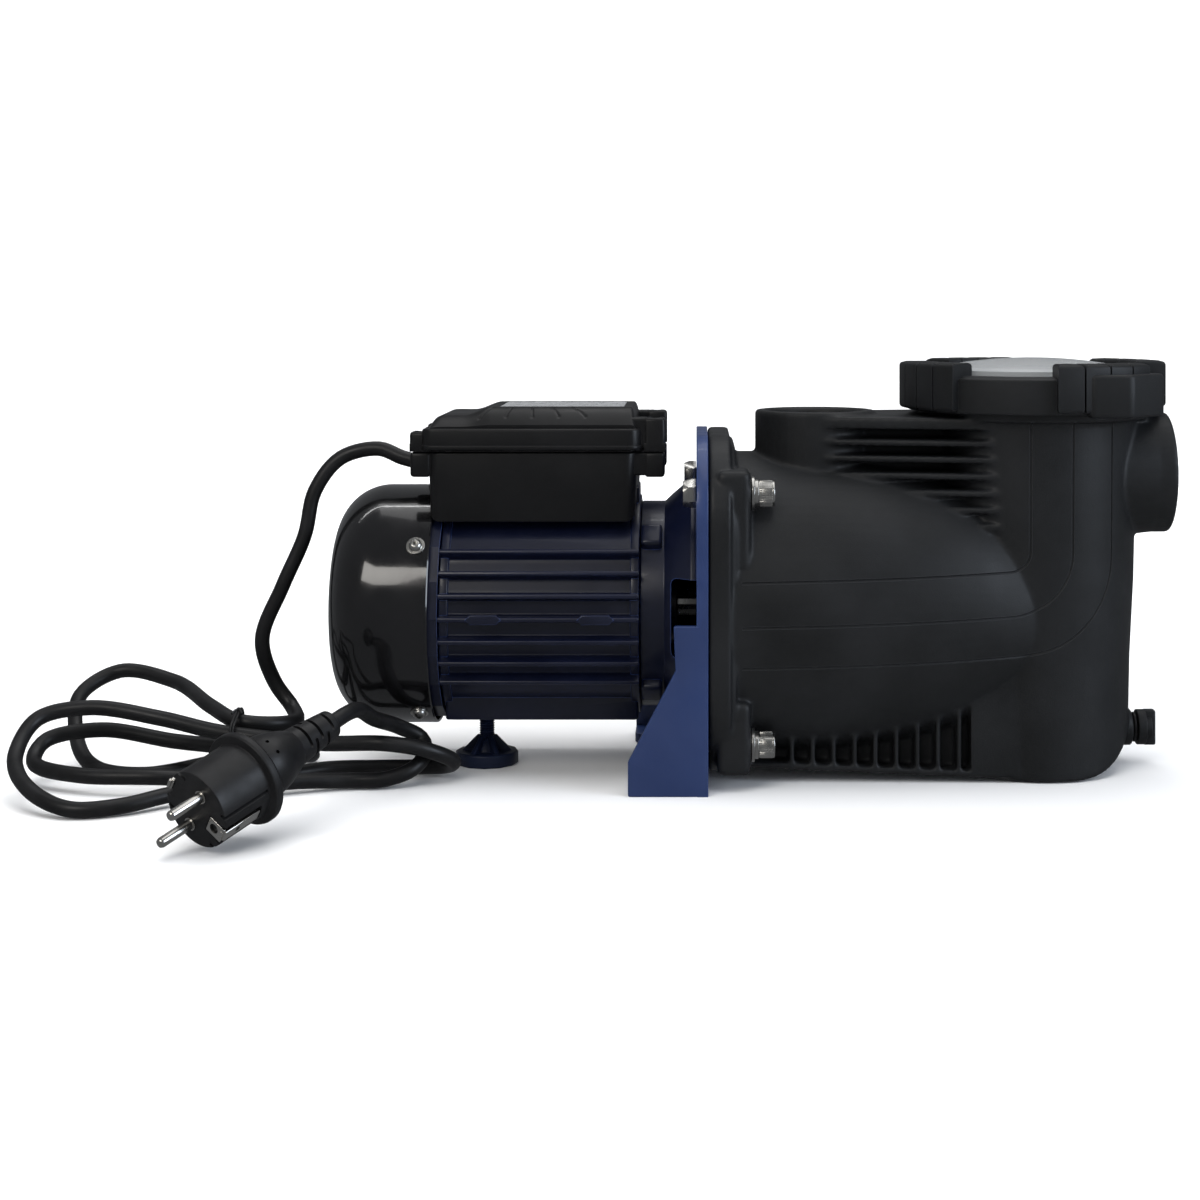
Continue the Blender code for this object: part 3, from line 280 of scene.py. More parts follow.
def wound_copper():
    look = new_look("copper_look", (0.60, 0.28, 0.14), 0.3, Metallic=1.0, Coat_Weight=0.5)
    vary_colour(look, (0.62, 0.30, 0.15), (0.36, 0.15, 0.07), 500.0, (0.15, 1, 1))
    vary_roughness(look, 0.2, 0.45, 120.0)
    relief(look, [(700.0, 0.0002, (0.15, 1, 1))])
    return look


def blank_panel():
    look = new_look("panel_look", (0.42, 0.43, 0.44), 0.3, Metallic=0.35)
    vary_roughness(look, 0.22, 0.36, 120.0)
    return look


def ground_ceramic():
    look = new_look("ceramic_look", (0.75, 0.73, 0.68), 0.4)
    vary_colour(look, (0.76, 0.74, 0.69), (0.68, 0.65, 0.60), 90.0)
    vary_roughness(look, 0.3, 0.5, 150.0)
    relief(look, [(600.0, 0.00003, EVEN)])
    return look


LOOKS = {
    "pump_plastic": moulded_plastic("pump_plastic_look", (0.0075, 0.0080, 0.0086),
                                    (0.0115, 0.0122, 0.0135), 0.47, 0.00005),
    "satin_plastic": moulded_plastic("satin_plastic_look", (0.0040, 0.0040, 0.0043),
                                     (0.0066, 0.0066, 0.0072), 0.36, 0.000025),
    "foot_plastic": moulded_plastic("foot_plastic_look", (0.005, 0.009, 0.026),
                                    (0.008, 0.013, 0.036), 0.42, 0.00003),
    # The third colour given to each enamel is its painted edge highlight.
    "black_paint": enamel("black_paint_look", (0.0025, 0.0025, 0.0028), (0.004, 0.004, 0.0045),
                          (0.012, 0.012, 0.013), 0.10, 0.000012, 0.7),
    "navy_paint": enamel("navy_paint_look", (0.0022, 0.0036, 0.0140), (0.0034, 0.0056, 0.0210),
                         (0.022, 0.045, 0.150), 0.30, 0.000015, 0.15),
    "bracket_paint": enamel("bracket_paint_look", (0.0095, 0.025, 0.094), (0.0125, 0.031, 0.112),
                            (0.045, 0.085, 0.24), 0.36, 0.00006, 0.25),
    "stainless": steel("stainless_look", (0.62, 0.61, 0.58), 0.20, (1, 0.15, 0.15)),
    "rubber": soft_rubber("rubber_look", (0.0058, 0.0058, 0.0062), (0.0100, 0.0100, 0.0108), 0.38,
                          0.00002),
    "lens": smoked_lens(),
    "iron": laminated_iron(),
    "copper": wound_copper(),
    "ceramic": ground_ceramic(),
}
PANEL_LOOK = blank_panel()
PIN_LOOK = steel("nickel_look", (0.74, 0.72, 0.68), 0.12, (0.3, 0.3, 1))


# ---- shapes


def shape(mesh):
    obj = bpy.data.objects.new("shape", mesh)
    bpy.context.scene.collection.objects.link(obj)
    return obj


def shape_from(bm, matrix=Matrix.Identity(4)):
    """Turns a bmesh into a closed shape, placed by the matrix."""
    bmesh.ops.remove_doubles(bm, verts=bm.verts, dist=0.000002)
    bmesh.ops.recalc_face_normals(bm, faces=bm.faces)
    mesh = bpy.data.meshes.new("shape")
    bm.to_mesh(mesh)
    bm.free()
    mesh.transform(matrix)
    return shape(mesh)


def moved(obj, matrix):
    obj.data.transform(matrix)
    return obj


def spun(obj, degrees, axis="X", centre=(0, 0, 0)):
    """Turns a shape about an axis through a point."""
    centre = Vector(centre)
    turn = Matrix.Rotation(math.radians(degrees), 4, axis)
    return moved(obj, Matrix.Translation(centre) @ turn @ Matrix.Translation(-centre))


def discard(objects):
    for obj in objects:
        mesh = obj.data
        bpy.data.objects.remove(obj)
        bpy.data.meshes.remove(mesh)


def evaluated(obj):
    """Applies a shape's modifiers."""
    graph = bpy.context.evaluated_depsgraph_get()
    mesh = bpy.data.meshes.new_from_object(obj.evaluated_get(graph))
    old = obj.data
    obj.modifiers.clear()
    obj.data = mesh
    bpy.data.meshes.remove(old)
    return obj


def solved(target, operation, others, solver="MANIFOLD"):
    for other in others:
        step = target.modifiers.new("Step", "BOOLEAN")
        step.operation = operation
        step.solver = solver
        step.object = other
    evaluated(target)
    discard(others)
    return target


def united(target, *others):
    return solved(target, "UNION", others)


def cut(target, *others):
    return solved(target, "DIFFERENCE", others)


def joined(objects):
    """One shape that holds several closed shells."""
    bm = bmesh.new()
    for obj in objects:
        bm.from_mesh(obj.data)
    mesh = bpy.data.meshes.new("shape")
    bm.to_mesh(mesh)
    bm.free()
    discard(objects)
    return shape(mesh)


def moulded(objects, voxel, smoothing):
    """Melts overlapping shapes into one skin with small fillets where they meet."""
    obj = joined(objects)
    remesh = obj.modifiers.new("Remesh", "REMESH")
    remesh.mode = "VOXEL"
    remesh.voxel_size = voxel
    smooth = obj.modifiers.new("Smooth", "SMOOTH")
    smooth.factor = 0.5
    smooth.iterations = smoothing
    return evaluated(obj)


def arc(centre, radius, start, end, count):
    """Points on an arc, both ends included, with angles in degrees."""
    found = []
    for i in range(count):
        angle = math.radians(start + (end - start) * i / (count - 1))
        found.append((centre[0] + radius * math.cos(angle), centre[1] + radius * math.sin(angle)))
    return found


def rounded_rectangle(low, high, radius, count=9):
    outline = []
    for u, v, start in (
        (high[0] - radius, high[1] - radius, 0),
        (low[0] + radius, high[1] - radius, 90),
        (low[0] + radius, low[1] + radius, 180),
        (high[0] - radius, low[1] + radius, 270),
    ):
        outline += arc((u, v), radius, start, start + 90, count)
    return outline


def hull_of_circles(first_u, first_radius, second_u, second_radius, count=28):
    lean = math.degrees(math.acos((first_radius - second_radius) / (second_u - first_u)))
    return arc((first_u, 0), first_radius, lean, 360 - lean, count) + arc(
        (second_u, 0), second_radius, -lean, lean, count
    )


def filleted(points, radius, closed=False, count=4):
    """The outline with its corners rounded, by less where an edge is short."""
    points = [Vector(point) for point in points]
    found = []
    for i, corner in enumerate(points):
        before = points[i - 1] - corner
        after = points[(i + 1) % len(points)] - corner
        is_end = not closed and i in (0, len(points) - 1)
        if is_end or before.angle(after) > math.radians(172):
            found.append(tuple(corner))
            continue
        reach = radius / math.tan(before.angle(after) / 2)
        reach = min(reach, 0.45 * before.length, 0.45 * after.length)
        start = corner + before.normalized() * reach
        end = corner + after.normalized() * reach
        for k in range(count + 1):
            t = k / count
            found.append(tuple(start * (1 - t) ** 2 + corner * 2 * t * (1 - t) + end * t * t))
    return found


def turned(profile, axis=UP, at=(0, 0, 0), steps=96, closed=False, fillet=0.0):
    """Turns (radius, height) points about an axis."""
    if fillet:
        profile = filleted(profile, fillet, closed)
    bm = bmesh.new()
    verts = [bm.verts.new((radius, 0, height)) for radius, height in profile]
    edges = [bm.edges.new(pair) for pair in zip(verts, verts[1:])]
    if closed:
        edges.append(bm.edges.new((verts[-1], verts[0])))
    bmesh.ops.spin(bm, geom=verts + edges, cent=(0, 0, 0), axis=(0, 0, 1),
                   angle=2 * math.pi, steps=steps, use_merge=True)
    turn = Vector(axis).to_track_quat("Z", "Y").to_matrix().to_4x4()
    return shape_from(bm, Matrix.Translation(at) @ turn)


def shaft_at(profile, **options):
    """A turned shape about the pump's shaft, with heights along +X."""
    return turned(profile, ALONG, (0, 0, SHAFT_Z), **options)


def pot_at(profile, **options):
    """A turned shape about the strainer pot's upright axis."""
    return turned(profile, UP, (POT_X, 0, 0), **options)


def rod(radius, start, end, end_radius=None, steps=48, fillet=0.0):
    start, end = Vector(start), Vector(end)
    length = (end - start).length
    tip = radius if end_radius is None else end_radius
    profile = [(0, length), (tip, length), (radius, 0), (0, 0)]
    return turned(profile, end - start, start, steps, fillet=fillet)


def ring_of(radius, thickness, axis, at, steps=96):
    """A round ring, such as an O-ring."""
    return turned(arc((radius, 0), thickness, 0, 337.5, 16), axis, at, steps, closed=True)


def prism(outlines, facing, low, high, bevel=0.0004, steps=2):
    """Extrudes flat outlines along an axis with rounded edges: inner outlines become holes."""
    if isinstance(outlines[0][0], (int, float)):
        outlines = [outlines]
    curve = bpy.data.curves.new("outline", "CURVE")
    curve.dimensions = "2D"
    curve.fill_mode = "BOTH"
    curve.extrude = (high - low) / 2 - bevel
    curve.bevel_depth = bevel
    curve.bevel_resolution = steps
    curve.offset = -bevel
    for outline in outlines:
        spline = curve.splines.new("POLY")
        spline.points.add(len(outline) - 1)
        for point, (u, v) in zip(spline.points, outline):
            point.co = (u, v, 0.0, 1.0)
        spline.use_cyclic_u = True
    place = Vector([(low + high) / 2 if axis == facing else 0 for axis in "XYZ"])
    return from_curve(curve, Matrix.Translation(place) @ FACING[facing])


def wire(points, radius, sides=3):
    curve = bpy.data.curves.new("wire", "CURVE")
    curve.dimensions = "3D"
    curve.bevel_depth = radius
    curve.bevel_resolution = sides
    curve.use_fill_caps = True
    spline = curve.splines.new("POLY")
    spline.points.add(len(points) - 1)
    for point, place in zip(spline.points, points):
        point.co = (*place, 1.0)
    return from_curve(curve, Matrix.Identity(4))


def from_curve(curve, matrix):
    source = bpy.data.objects.new("curve", curve)
    bpy.context.scene.collection.objects.link(source)
    graph = bpy.context.evaluated_depsgraph_get()
    mesh = bpy.data.meshes.new_from_object(source.evaluated_get(graph))
    bpy.data.objects.remove(source)
    bpy.data.curves.remove(curve)
    bm = bmesh.new()
    bm.from_mesh(mesh)
    bpy.data.meshes.remove(mesh)
    return shape_from(bm, matrix)


def block(low, high, bevel=0.0006):
    low, high = Vector(low), Vector(high)
    bm = bmesh.new()
    bmesh.ops.create_cube(bm, size=1.0)
    bmesh.ops.scale(bm, vec=high - low, verts=bm.verts)
    bmesh.ops.bevel(bm, geom=bm.edges[:], offset=bevel, segments=3, profile=0.5, affect="EDGES")
    return shape_from(bm, Matrix.Translation((low + high) / 2))


def piece(name, obj, body, slot, *nodes, look=None, sharp=38):
    """Gives a shape its name, place, shading, material and body."""
    moved(obj, Matrix.Translation(JOINT))
    obj.name = name
    obj.data.name = name
    obj.data.shade_smooth()
    obj.data.set_sharp_from_angle(angle=math.radians(sharp))
    obj.data.materials.clear()
    obj.data.materials.append(look or LOOKS[slot])
    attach(obj, body)
    if nodes:
        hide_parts(*nodes)
    return obj


def bolt_places():
    return [(side * BOLT_Y, SHAFT_Z + rise * BOLT_RISE) for side, rise in CORNERS]


# ---- pump housing


def volute_shape():
    places = [0.010 + 0.0035 * i for i in range(49)]
    profile = [(0.0, places[-1])]
    for x in reversed(places):
        share = max(0.0, (x - VOLUTE_MIDDLE) / VOLUTE_LENGTH)
        profile.append((VOLUTE_RADIUS * math.sqrt(1 - share * share), x))
    profile.append((0.0, places[0]))
    body = shaft_at(profile)
    return moved(body, Matrix.Diagonal((1.0, VOLUTE_FLATTENING, 1.0, 1.0)))


def pot_shape():
    profile = [(0.0, POT_TOP), (POT_RADIUS, POT_TOP), (POT_RADIUS - 0.0010, 0.140)]
    profile += [(0.0522, 0.100), (0.0502, 0.060), (0.0490, 0.001), (0.0, 0.001)]
    corner_x, radius = POT_X + 0.0175, 0.033
    corner = arc((corner_x, radius + 0.001), radius, -90, 0, 16)
    corner += [(POT_X + 0.070, radius + 0.001), (POT_X + 0.070, -0.010), (corner_x, -0.010)]
    return cut(pot_at(profile), prism(corner, "Y", -0.070, 0.070, 0.0))


def flange_shapes():
    """Flange, its step, and the raised lugs that the bolts sit on."""
    outer = rounded_rectangle((-0.075, 0.004), (0.075, 0.176), 0.045, 14)
    step = rounded_rectangle((-0.0715, 0.0065), (0.0715, 0.1705), 0.043, 14)
    shapes = [prism(outer, "X", 0.0, 0.0112, 0.0014), prism(step, "X", 0.004, 0.0138, 0.001)]
    for side in SIDES:
        low_y, high_y = sorted((side * 0.040, side * 0.0695))
        shapes.append(block((0.004, low_y, 0.1095), (0.0208, high_y, 0.1600), 0.0032))
        shapes.append(block((0.004, low_y, 0.0085), (0.0208, high_y, 0.0450), 0.0032))
    return shapes


def rib_shapes():
    """Seven level ribs round a web above the volute, and nine upright ribs below it."""
    outline = hull_of_circles(DISCHARGE_X, PORT_RADIUS - 0.0008, POT_X, POT_RADIUS - 0.0030)
    shapes = [block((DISCHARGE_X, -0.020, 0.120), (POT_X, 0.020, 0.1815))]
    for i in range(7):
        middle = 0.1805 - 0.0085 * i
        shapes.append(prism(outline, "Z", middle - 0.0016, middle + 0.0016, 0.0004))
    shapes.append(prism(outline, "Z", 0.1800, 0.1850, 0.0010))
    for i in range(9):
        x = 0.0422 + 0.0106 * i
        shapes.append(block((x - 0.0012, -SKIRT_HALF, 0.0060), (x + 0.0012, SKIRT_HALF, 0.060)))
    return shapes


def skirt_shapes():
    web = [(0.010, 0.011), (POT_X, 0.003), (POT_X, 0.070), (0.010, 0.070)]
    floor = [(0.0105, 0.0085), (0.156, 0.0022), (0.156, 0.0052), (0.0105, 0.0115)]
    full = [(0.1330, 0.0035), (0.158, 0.0022), (0.158, 0.068), (0.1330, 0.068)]
    return [
        prism(web, "Y", -WEB_HALF, WEB_HALF),
        prism(floor, "Y", -SKIRT_HALF, SKIRT_HALF),
        prism(full, "Y", -SKIRT_HALF, SKIRT_HALF),
    ]


def port_shapes():
    shapes = [
        rod(PORT_RADIUS, (DISCHARGE_X, 0, 0.110), (DISCHARGE_X, 0, DISCHARGE_TOP), fillet=0.0008),
        rod(PORT_RADIUS, (POT_X, 0, SUCTION_Z), (PORT_END, 0, SUCTION_Z), fillet=0.0008),
        rod(0.0375, (POT_X, 0, SUCTION_Z), (PORT_END - 0.010, 0, SUCTION_Z), end_radius=0.0318),
        rod(NECK_RADIUS, (POT_X, 0, 0.183), (POT_X, 0, NECK_TOP), steps=96),
        rod(0.0095, (0.195, 0, DRAIN.z), (0.224, 0, DRAIN.z)),
    ]
    shapes += [rod(0.0105, (0.005, y, z), (0.0210, y, z)) for y, z in bolt_places()]
    return shapes


def bore(radius, start, end):
    """A cutter for a socket: the bore, with a chamfered mouth at its end."""
    start, end = Vector(start), Vector(end)
    along = (end - start).normalized()
    mouth = rod(radius - 0.001, end - along * 0.003, end + along * 0.003, radius + 0.005)
    return [rod(radius, start, end + along * 0.010, steps=96), mouth]


def housing_cutters():
    pot = [(0.0, 0.200), (0.0512, 0.200), (0.0508, 0.150), (0.0465, 0.065)]
    pot += [(0.0435, 0.040), (0.030, 0.010), (0.0, 0.006)]
    chamber = [(0.0, 0.098), (0.040, 0.098), (0.060, 0.070), (0.064, 0.040), (0.064, -0.01), (0, -0.01)]
    groove = [(0.0572, 0.2000), (0.0572, 0.1940), (0.0535, 0.1940), (0.0535, 0.2000)]
    cutters = [
        pot_at(pot, fillet=0.002),
        shaft_at(chamber, fillet=0.002),
        rod(0.0703, (-0.005, 0, SHAFT_Z), (0.0063, 0, SHAFT_Z), steps=96),
        rod(0.0222, (0.090, 0, SHAFT_Z), (0.137, 0, SHAFT_Z)),
        rod(0.0053, (0.185, 0, DRAIN.z), (0.235, 0, DRAIN.z)),
        pot_at(groove, closed=True),
        *bore(PORT_BORE, (0.200, 0, SUCTION_Z), (PORT_END, 0, SUCTION_Z)),
        *bore(PORT_BORE, (DISCHARGE_X, 0, 0.110), (DISCHARGE_X, 0, DISCHARGE_TOP)),
    ]
    cutters += [rod(BOLT_HOLE, (-0.005, y, z), (0.030, y, z)) for y, z in bolt_places()]
    return cutters


def groove_path(level, upright, bend):
    """(x, z) points of one moulded line: along the volute, round a bend and up the pot."""
    start, slope, spacing = 0.0165, 0.022, 0.0018
    end = upright - bend
    count = round((end - start) / spacing)
    places = [start + (end - start) * i / count for i in range(count)]
    path = [(x, level + slope * (x - end)) for x in places]
    path += arc((end, level + bend), bend, -90, 0, 4 + round(bend / spacing))
    top = 0.1835
    count = round((top - level - bend) / spacing)
    path += [(upright, level + bend + (top - level - bend) * i / count) for i in range(1, count + 1)]
    return path


def groove_cutters(housing):
    """Thin wires laid on the skin along the three moulded lines of each side."""
    tree = BVHTree.FromObject(housing, bpy.context.evaluated_depsgraph_get())
    wires = []
    for level, upright, bend in MOULDED_LINES:
        for side in SIDES:
            route = []
            for x, z in groove_path(level, upright, bend):
                found = tree.ray_cast(Vector((x, side * 0.2, z)), -side * ACROSS)[0]
                route.append(found + side * ACROSS * 0.0001)
            wires.append(wire(route, 0.0008, 1))
    return wires


def pump_housing():
    shapes = [volute_shape(), pot_shape(), *flange_shapes(), *rib_shapes()]
    shapes += [*skirt_shapes(), *port_shapes()]
    voxel, smoothing = ((0.0011, 4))
    body = moulded(shapes, voxel, smoothing)
    cut(body, *groove_cutters(body))
    cut(body, *housing_cutters())
    piece("pump_housing_shell", body, "pump", "pump_plastic", "pump_housing", sharp=50)


# ---- lid, ring and basket


def lid_lens():
    dome, edge = high_of("lid_lens").z, 0.2096
    radius = 0.2480
    top = [(radius * math.sin(a), dome - radius * (1 - math.cos(a))) for a in
           [0.2 * i / 14 for i in range(15)]]
    inside = [(r * 0.93, z - 0.0036) for r, z in reversed(top)]
    profile = [*top, (0.0515, edge - 0.0010), (0.0520, 0.2010), (0.0588, 0.2008)]
    profile += [(0.0588, NECK_TOP + 0.0003), (0.0500, NECK_TOP + 0.0003), (0.0500, 0.1880)]
    profile += [(0.0472, 0.1880), *inside]
    piece("lens_dome", pot_at(profile), "lid", "lens", "lid_lens")


def sector(start, end, inner, outer, count=10):
    return arc((POT_X, 0), outer, start, end, count) + arc((POT_X, 0), inner, end, start, count)


def grip_segments(turn):
    """Four raised blocks side by side, with thin seams between them."""
    first, width, seam = 1.0, 11.6, 0.9
    shapes = []
    for i in range(4):
        start = turn + first + width * i
        end = start + width - seam
        shapes.append(prism(sector(start, end, 0.0610, 0.0708), "Z", 0.1884, 0.2126, 0.0020))
        shapes.append(prism(sector(start, end, 0.0546, 0.0690), "Z", 0.2030, 0.2130, 0.0018))
    return shapes


def lug_shape(turn):
    """A broad paddle that a hand turns the ring by."""
    front = filleted([(0.0163, -0.0612), (0.0172, -0.0692), (0.0385, -0.0695), (0.0602, -0.0475),
                      (0.0517, -0.0362)], 0.0060, count=8)
    outline = arc((0, 0), 0.0632, -37, -73, 10)[1:-1] + front
    paddle = prism(outline, "Z", 0.1862, 0.2078, 0.0020)
    return spun(moved(paddle, Matrix.Translation((POT_X, 0, 0))), turn, "Z", (POT_X, 0, 0))


def lid_locking_ring():
    profile = [(0.0625, 0.2063), (0.0663, 0.2050), (0.0663, 0.1874), (0.0605, 0.1874)]
    profile += [(0.0605, 0.2013), (0.0534, 0.2013), (0.0534, 0.2063)]
    ring = pot_at(profile, closed=True, fillet=0.0009)
    shapes = [lug_shape(0), lug_shape(180)]
    for turn in (0, 90, 180, 270):
        shapes += grip_segments(turn)
    united(ring, *shapes)
    piece("locking_ring", ring, "lid_ring", "pump_plastic", "lid_locking_ring")


def o_rings():
    seal = ring_of(0.05535, 0.00130, UP, (POT_X, 0, 0.19565))
    piece("lid_seal", seal, "lid", "rubber", "lid_o_ring")
    washer = middle_of("drain_plug_o_ring")
    seal = ring_of(0.00685, 0.00098, ALONG, washer, 48)
    piece("drain_seal", seal, "drain_washer", "rubber", "drain_plug_o_ring")


def strainer_basket():
    """Cup with rows of upright slots, stiffening hoops and a bail."""
    profile = [(0.0490, 0.1840), (0.0490, 0.1810), (0.0455, 0.1780), (0.0400, 0.0300), (0.0, 0.0300)]
    profile += [(0.0, 0.0322), (0.0380, 0.0322), (0.0435, 0.1800), (0.0435, 0.1840)]
    basket = pot_at(profile, closed=True, fillet=0.0006)
    cutters = []
    for row in range(6):
        low = 0.0400 + 0.0225 * row
        for i in range(16):
            slot = block((POT_X, -0.0024, low), (POT_X + 0.060, 0.0024, low + 0.0185), 0.0010)
            cutters.append(spun(slot, 22.5 * i, "Z", (POT_X, 0, 0)))
    holes = [rod(0.0018, (POT_X + 0.009 * r * math.cos(a), 0.009 * r * math.sin(a), 0.025),
                 (POT_X + 0.009 * r * math.cos(a), 0.009 * r * math.sin(a), 0.035), steps=16)
             for r in (1, 2, 3) for a in [2 * math.pi * k / (6 * r) for k in range(6 * r)]]
    basket = cut(basket, joined(cutters), joined(holes))
    bail = [(POT_X + u, 0, 0.1825 + v * 0.5) for u, v in arc((0, 0), 0.0462, 0, 180, 40)]
    united(basket, wire(bail, 0.0020))
    piece("basket_cup", basket, "basket", "pump_plastic", "strainer_basket")


def drain_plug():
    """Collar with a square, bevelled wing to turn it by."""
    start = high_of("drain_plug_o_ring").x + 0.0003
    end = high_of("drain_plug").x
    collar = start + 0.0045
    profile = [(0.0, collar), (0.0092, collar), (0.0092, start), (0.0049, start)]
    profile += [(0.0049, 0.2120), (0, 0.212)]
    plug = turned(profile, ALONG, (0, 0, DRAIN.z), 64, fillet=0.0005)
    wing = block((collar - 0.001, -0.0030, DRAIN.z - 0.0092), (end, 0.0030, DRAIN.z + 0.0092), 0.0011)
    stem = rod(0.0062, (collar - 0.001, 0, DRAIN.z), (end - 0.0022, 0, DRAIN.z), fillet=0.0006)
    united(plug, wing, stem)
    piece("drain_screw_cap", plug, "drain_screw", "pump_plastic", "drain_plug")


# ---- bracket and fasteners


def mounting_bracket():
    half, corner = BRACKET_HALF, 0.042
    arch = [(-half, 0.0), (half, 0.0)]
    arch += arc((half - corner, BRACKET_TOP - corner), corner, 0, 90, 20)
    arch += arc((corner - half, BRACKET_TOP - corner), corner, 90, 180, 20)
    opening = arc((0, SHAFT_Z), 0.042, 0, 354, 60)
    holes = [round_hole((y, z), BOLT_HOLE) for y, z in bolt_places()]
    plate = prism([arch, opening, *holes], "X", BRACKET_BACK, -0.0003, 0.0005)
    gusset = [(-0.003, 0.0), (-0.003, 0.084), (-0.0175, 0.084), (-0.0165, 0.062)]
    gusset = filleted([*gusset, (-0.040, 0.017), (-0.040, 0.0)], 0.0012, closed=True)
    shapes = []
    for side in SIDES:
        inner, outer = sorted((side * (half - 0.0045), side * half))
        shapes.append(prism(gusset, "Y", inner, outer, 0.0005))
        inner, outer = sorted((side * (half - 0.028), side * (half - 0.002)))
        pad = rounded_rectangle((-0.040, inner), (-0.003, outer), 0.004)
        hole = round_hole((-0.0220, side * (half - 0.016)), 0.0045)
        shapes.append(prism([pad, hole], "Z", 0.0, 0.0050, 0.0006))
    united(plate, *shapes)
    piece("bracket_plate", plate, "pump", "bracket_paint", "mounting_bracket")


def round_hole(centre, radius):
    return arc(centre, radius, 0, 345, 24)


def hexagon(radius, centre=(0, 0)):
    return arc(centre, radius, 30, 330, 6)


def hex_nut(centre, facing, low, high, bevel):
    """A nut with a clear bore, as an extruded hexagon."""
    return prism([hexagon(NUT_CORNER, centre), round_hole(centre, NUT_BORE)], facing, low, high, bevel)


def knurled_head(y, z):
    """Cylinder head with fine ridges round it and a hexagon socket."""
    ridges, radius, depth = 44, 0.00655, 0.00022
    outline = []
    for i in range(ridges):
        angle = 360 * i / ridges
        outline += arc((y, z), radius, angle, angle + 3.0, 2)
        outline += arc((y, z), radius - depth, angle + 4.6, angle + 6.6, 2)
    start, end = BOLT_FACE + 0.0036, BOLT_FACE + 0.0118
    socket = hexagon(0.0036, (y, z))
    return [
        prism([outline, socket], "X", start + 0.0006, end - 0.0012, 0.00008, 1),
        prism([arc((y, z), 0.0064, 0, 352, 46), socket], "X", end - 0.0016, end, 0.0005),
        rod(0.0064, (start, y, z), (start + 0.0020, y, z), fillet=0.0003),
    ]


def flange_bolts():
    for i, (y, z) in enumerate(bolt_places(), start=1):
        shapes = knurled_head(y, z)
        shapes.append(rod(0.0085, (BOLT_FACE, y, z), (BOLT_FACE + 0.0016, y, z), fillet=0.0003))
        coil = [(0.0070, 0.0019), (0.0070, 0.0), (0.0042, 0.0), (0.0042, 0.0019)]
        shapes.append(turned(coil, ALONG, (BOLT_FACE + 0.00165, y, z), 48, True, 0.0002))
        thread = [(0.0, BOLT_FACE + 0.001)]
        for k in range(26):
            x = BOLT_FACE - 0.0010 - THREAD_PITCH * k
            thread += [(0.0040, x), (0.00345, x - 0.00062)]
        thread.append((0.0, thread[-1][1]))
        shapes.append(turned(thread, ALONG, (0, y, z), 32))
        piece(f"socket_bolt_{i}", joined(shapes), "pump", "stainless", f"flange_bolt_{i}")
        low, high = low_of(f"flange_nut_{i}").x, high_of(f"flange_nut_{i}").x
        nut = hex_nut((y, z), "X", low, high, 0.0004)
        crown = [(0.0, high + 0.001), (0.0085, high + 0.001), (0.0085, high - 0.0004)]
        crown += [(0.0062, low), (0.0, low)]
        solved(nut, "INTERSECT", [turned(crown, ALONG, (0, y, z), 48)])
        piece(f"hex_nut_{i}", nut, "pump", "stainless", f"flange_nut_{i}")


# ---- motor


def fin_outline():
    """Cross-section of the motor frame: a round back with seven fins on each side."""
    spacing, half_root, half_tip = 10.9, 1.75, 1.05
    outline = []
    for side in (0, 180):
        for i in range(-3, 4):
            middle = side + spacing * i
            for offset, radius in ((-half_root, MOTOR_RADIUS), (-half_tip, FIN_TIP),
                                   (half_tip, FIN_TIP), (half_root, MOTOR_RADIUS)):
                angle = math.radians(middle + offset)
                outline.append((radius * math.cos(angle), SHAFT_Z + radius * math.sin(angle)))
        outline += arc((0, SHAFT_Z), MOTOR_RADIUS, side + 42, side + 138, 40)
    return filleted(outline, 0.0009, closed=True, count=3)


def motor_frame():
    hole = arc((0, SHAFT_Z), MOTOR_BORE, 0, 357, 120)
    body = prism([fin_outline(), hole], "X", MOTOR_REAR, MOTOR_FRONT, 0.0006)
    collar = arc((0, SHAFT_Z), MOTOR_RADIUS + 0.0016, 0, 357, 120)
    shapes = [
        block((MOTOR_REAR + 0.001, -0.018, 0.1330), (MOTOR_FRONT - 0.001, 0.018, 0.1476), 0.0012),
        block((MOTOR_REAR + 0.001, -0.034, SOLE_Z), (MOTOR_FRONT - 0.001, 0.034, 0.0425), 0.0015),
        prism([collar, hole], "X", MOTOR_REAR + 0.0002, MOTOR_REAR + 0.0045, 0.0006),
        prism([collar, hole], "X", MOTOR_FRONT - 0.0045, MOTOR_FRONT - 0.0002, 0.0006),
    ]
    half = 0.0024
    for start, end in ((-0.1220, -0.1040), (-0.0660, -0.0475)):
        pad = [(start, SHAFT_Z), (start + half, SHAFT_Z + half), (end - half, SHAFT_Z + half)]
        pad += [(end, SHAFT_Z), (end - half, SHAFT_Z - half), (start + half, SHAFT_Z - half)]
        for side in SIDES:
            inner, outer = sorted((side * (FIN_TIP - 0.003), side * (FIN_TIP + 0.0006)))
            shapes.append(prism(pad, "Y", inner, outer, 0.0004))
    united(body, *shapes)
    foot_bore = rod(0.0043, (FOOT.x, 0, 0.010), (FOOT.x, 0, 0.060))
    lead = middle_of("terminal_block")
    cut(body, foot_bore, rod(0.0080, (lead.x - 0.007, 0, 0.110), (lead.x - 0.007, 0, 0.160)))
    piece("finned_frame", body, "pump", "navy_paint", "motor_frame")


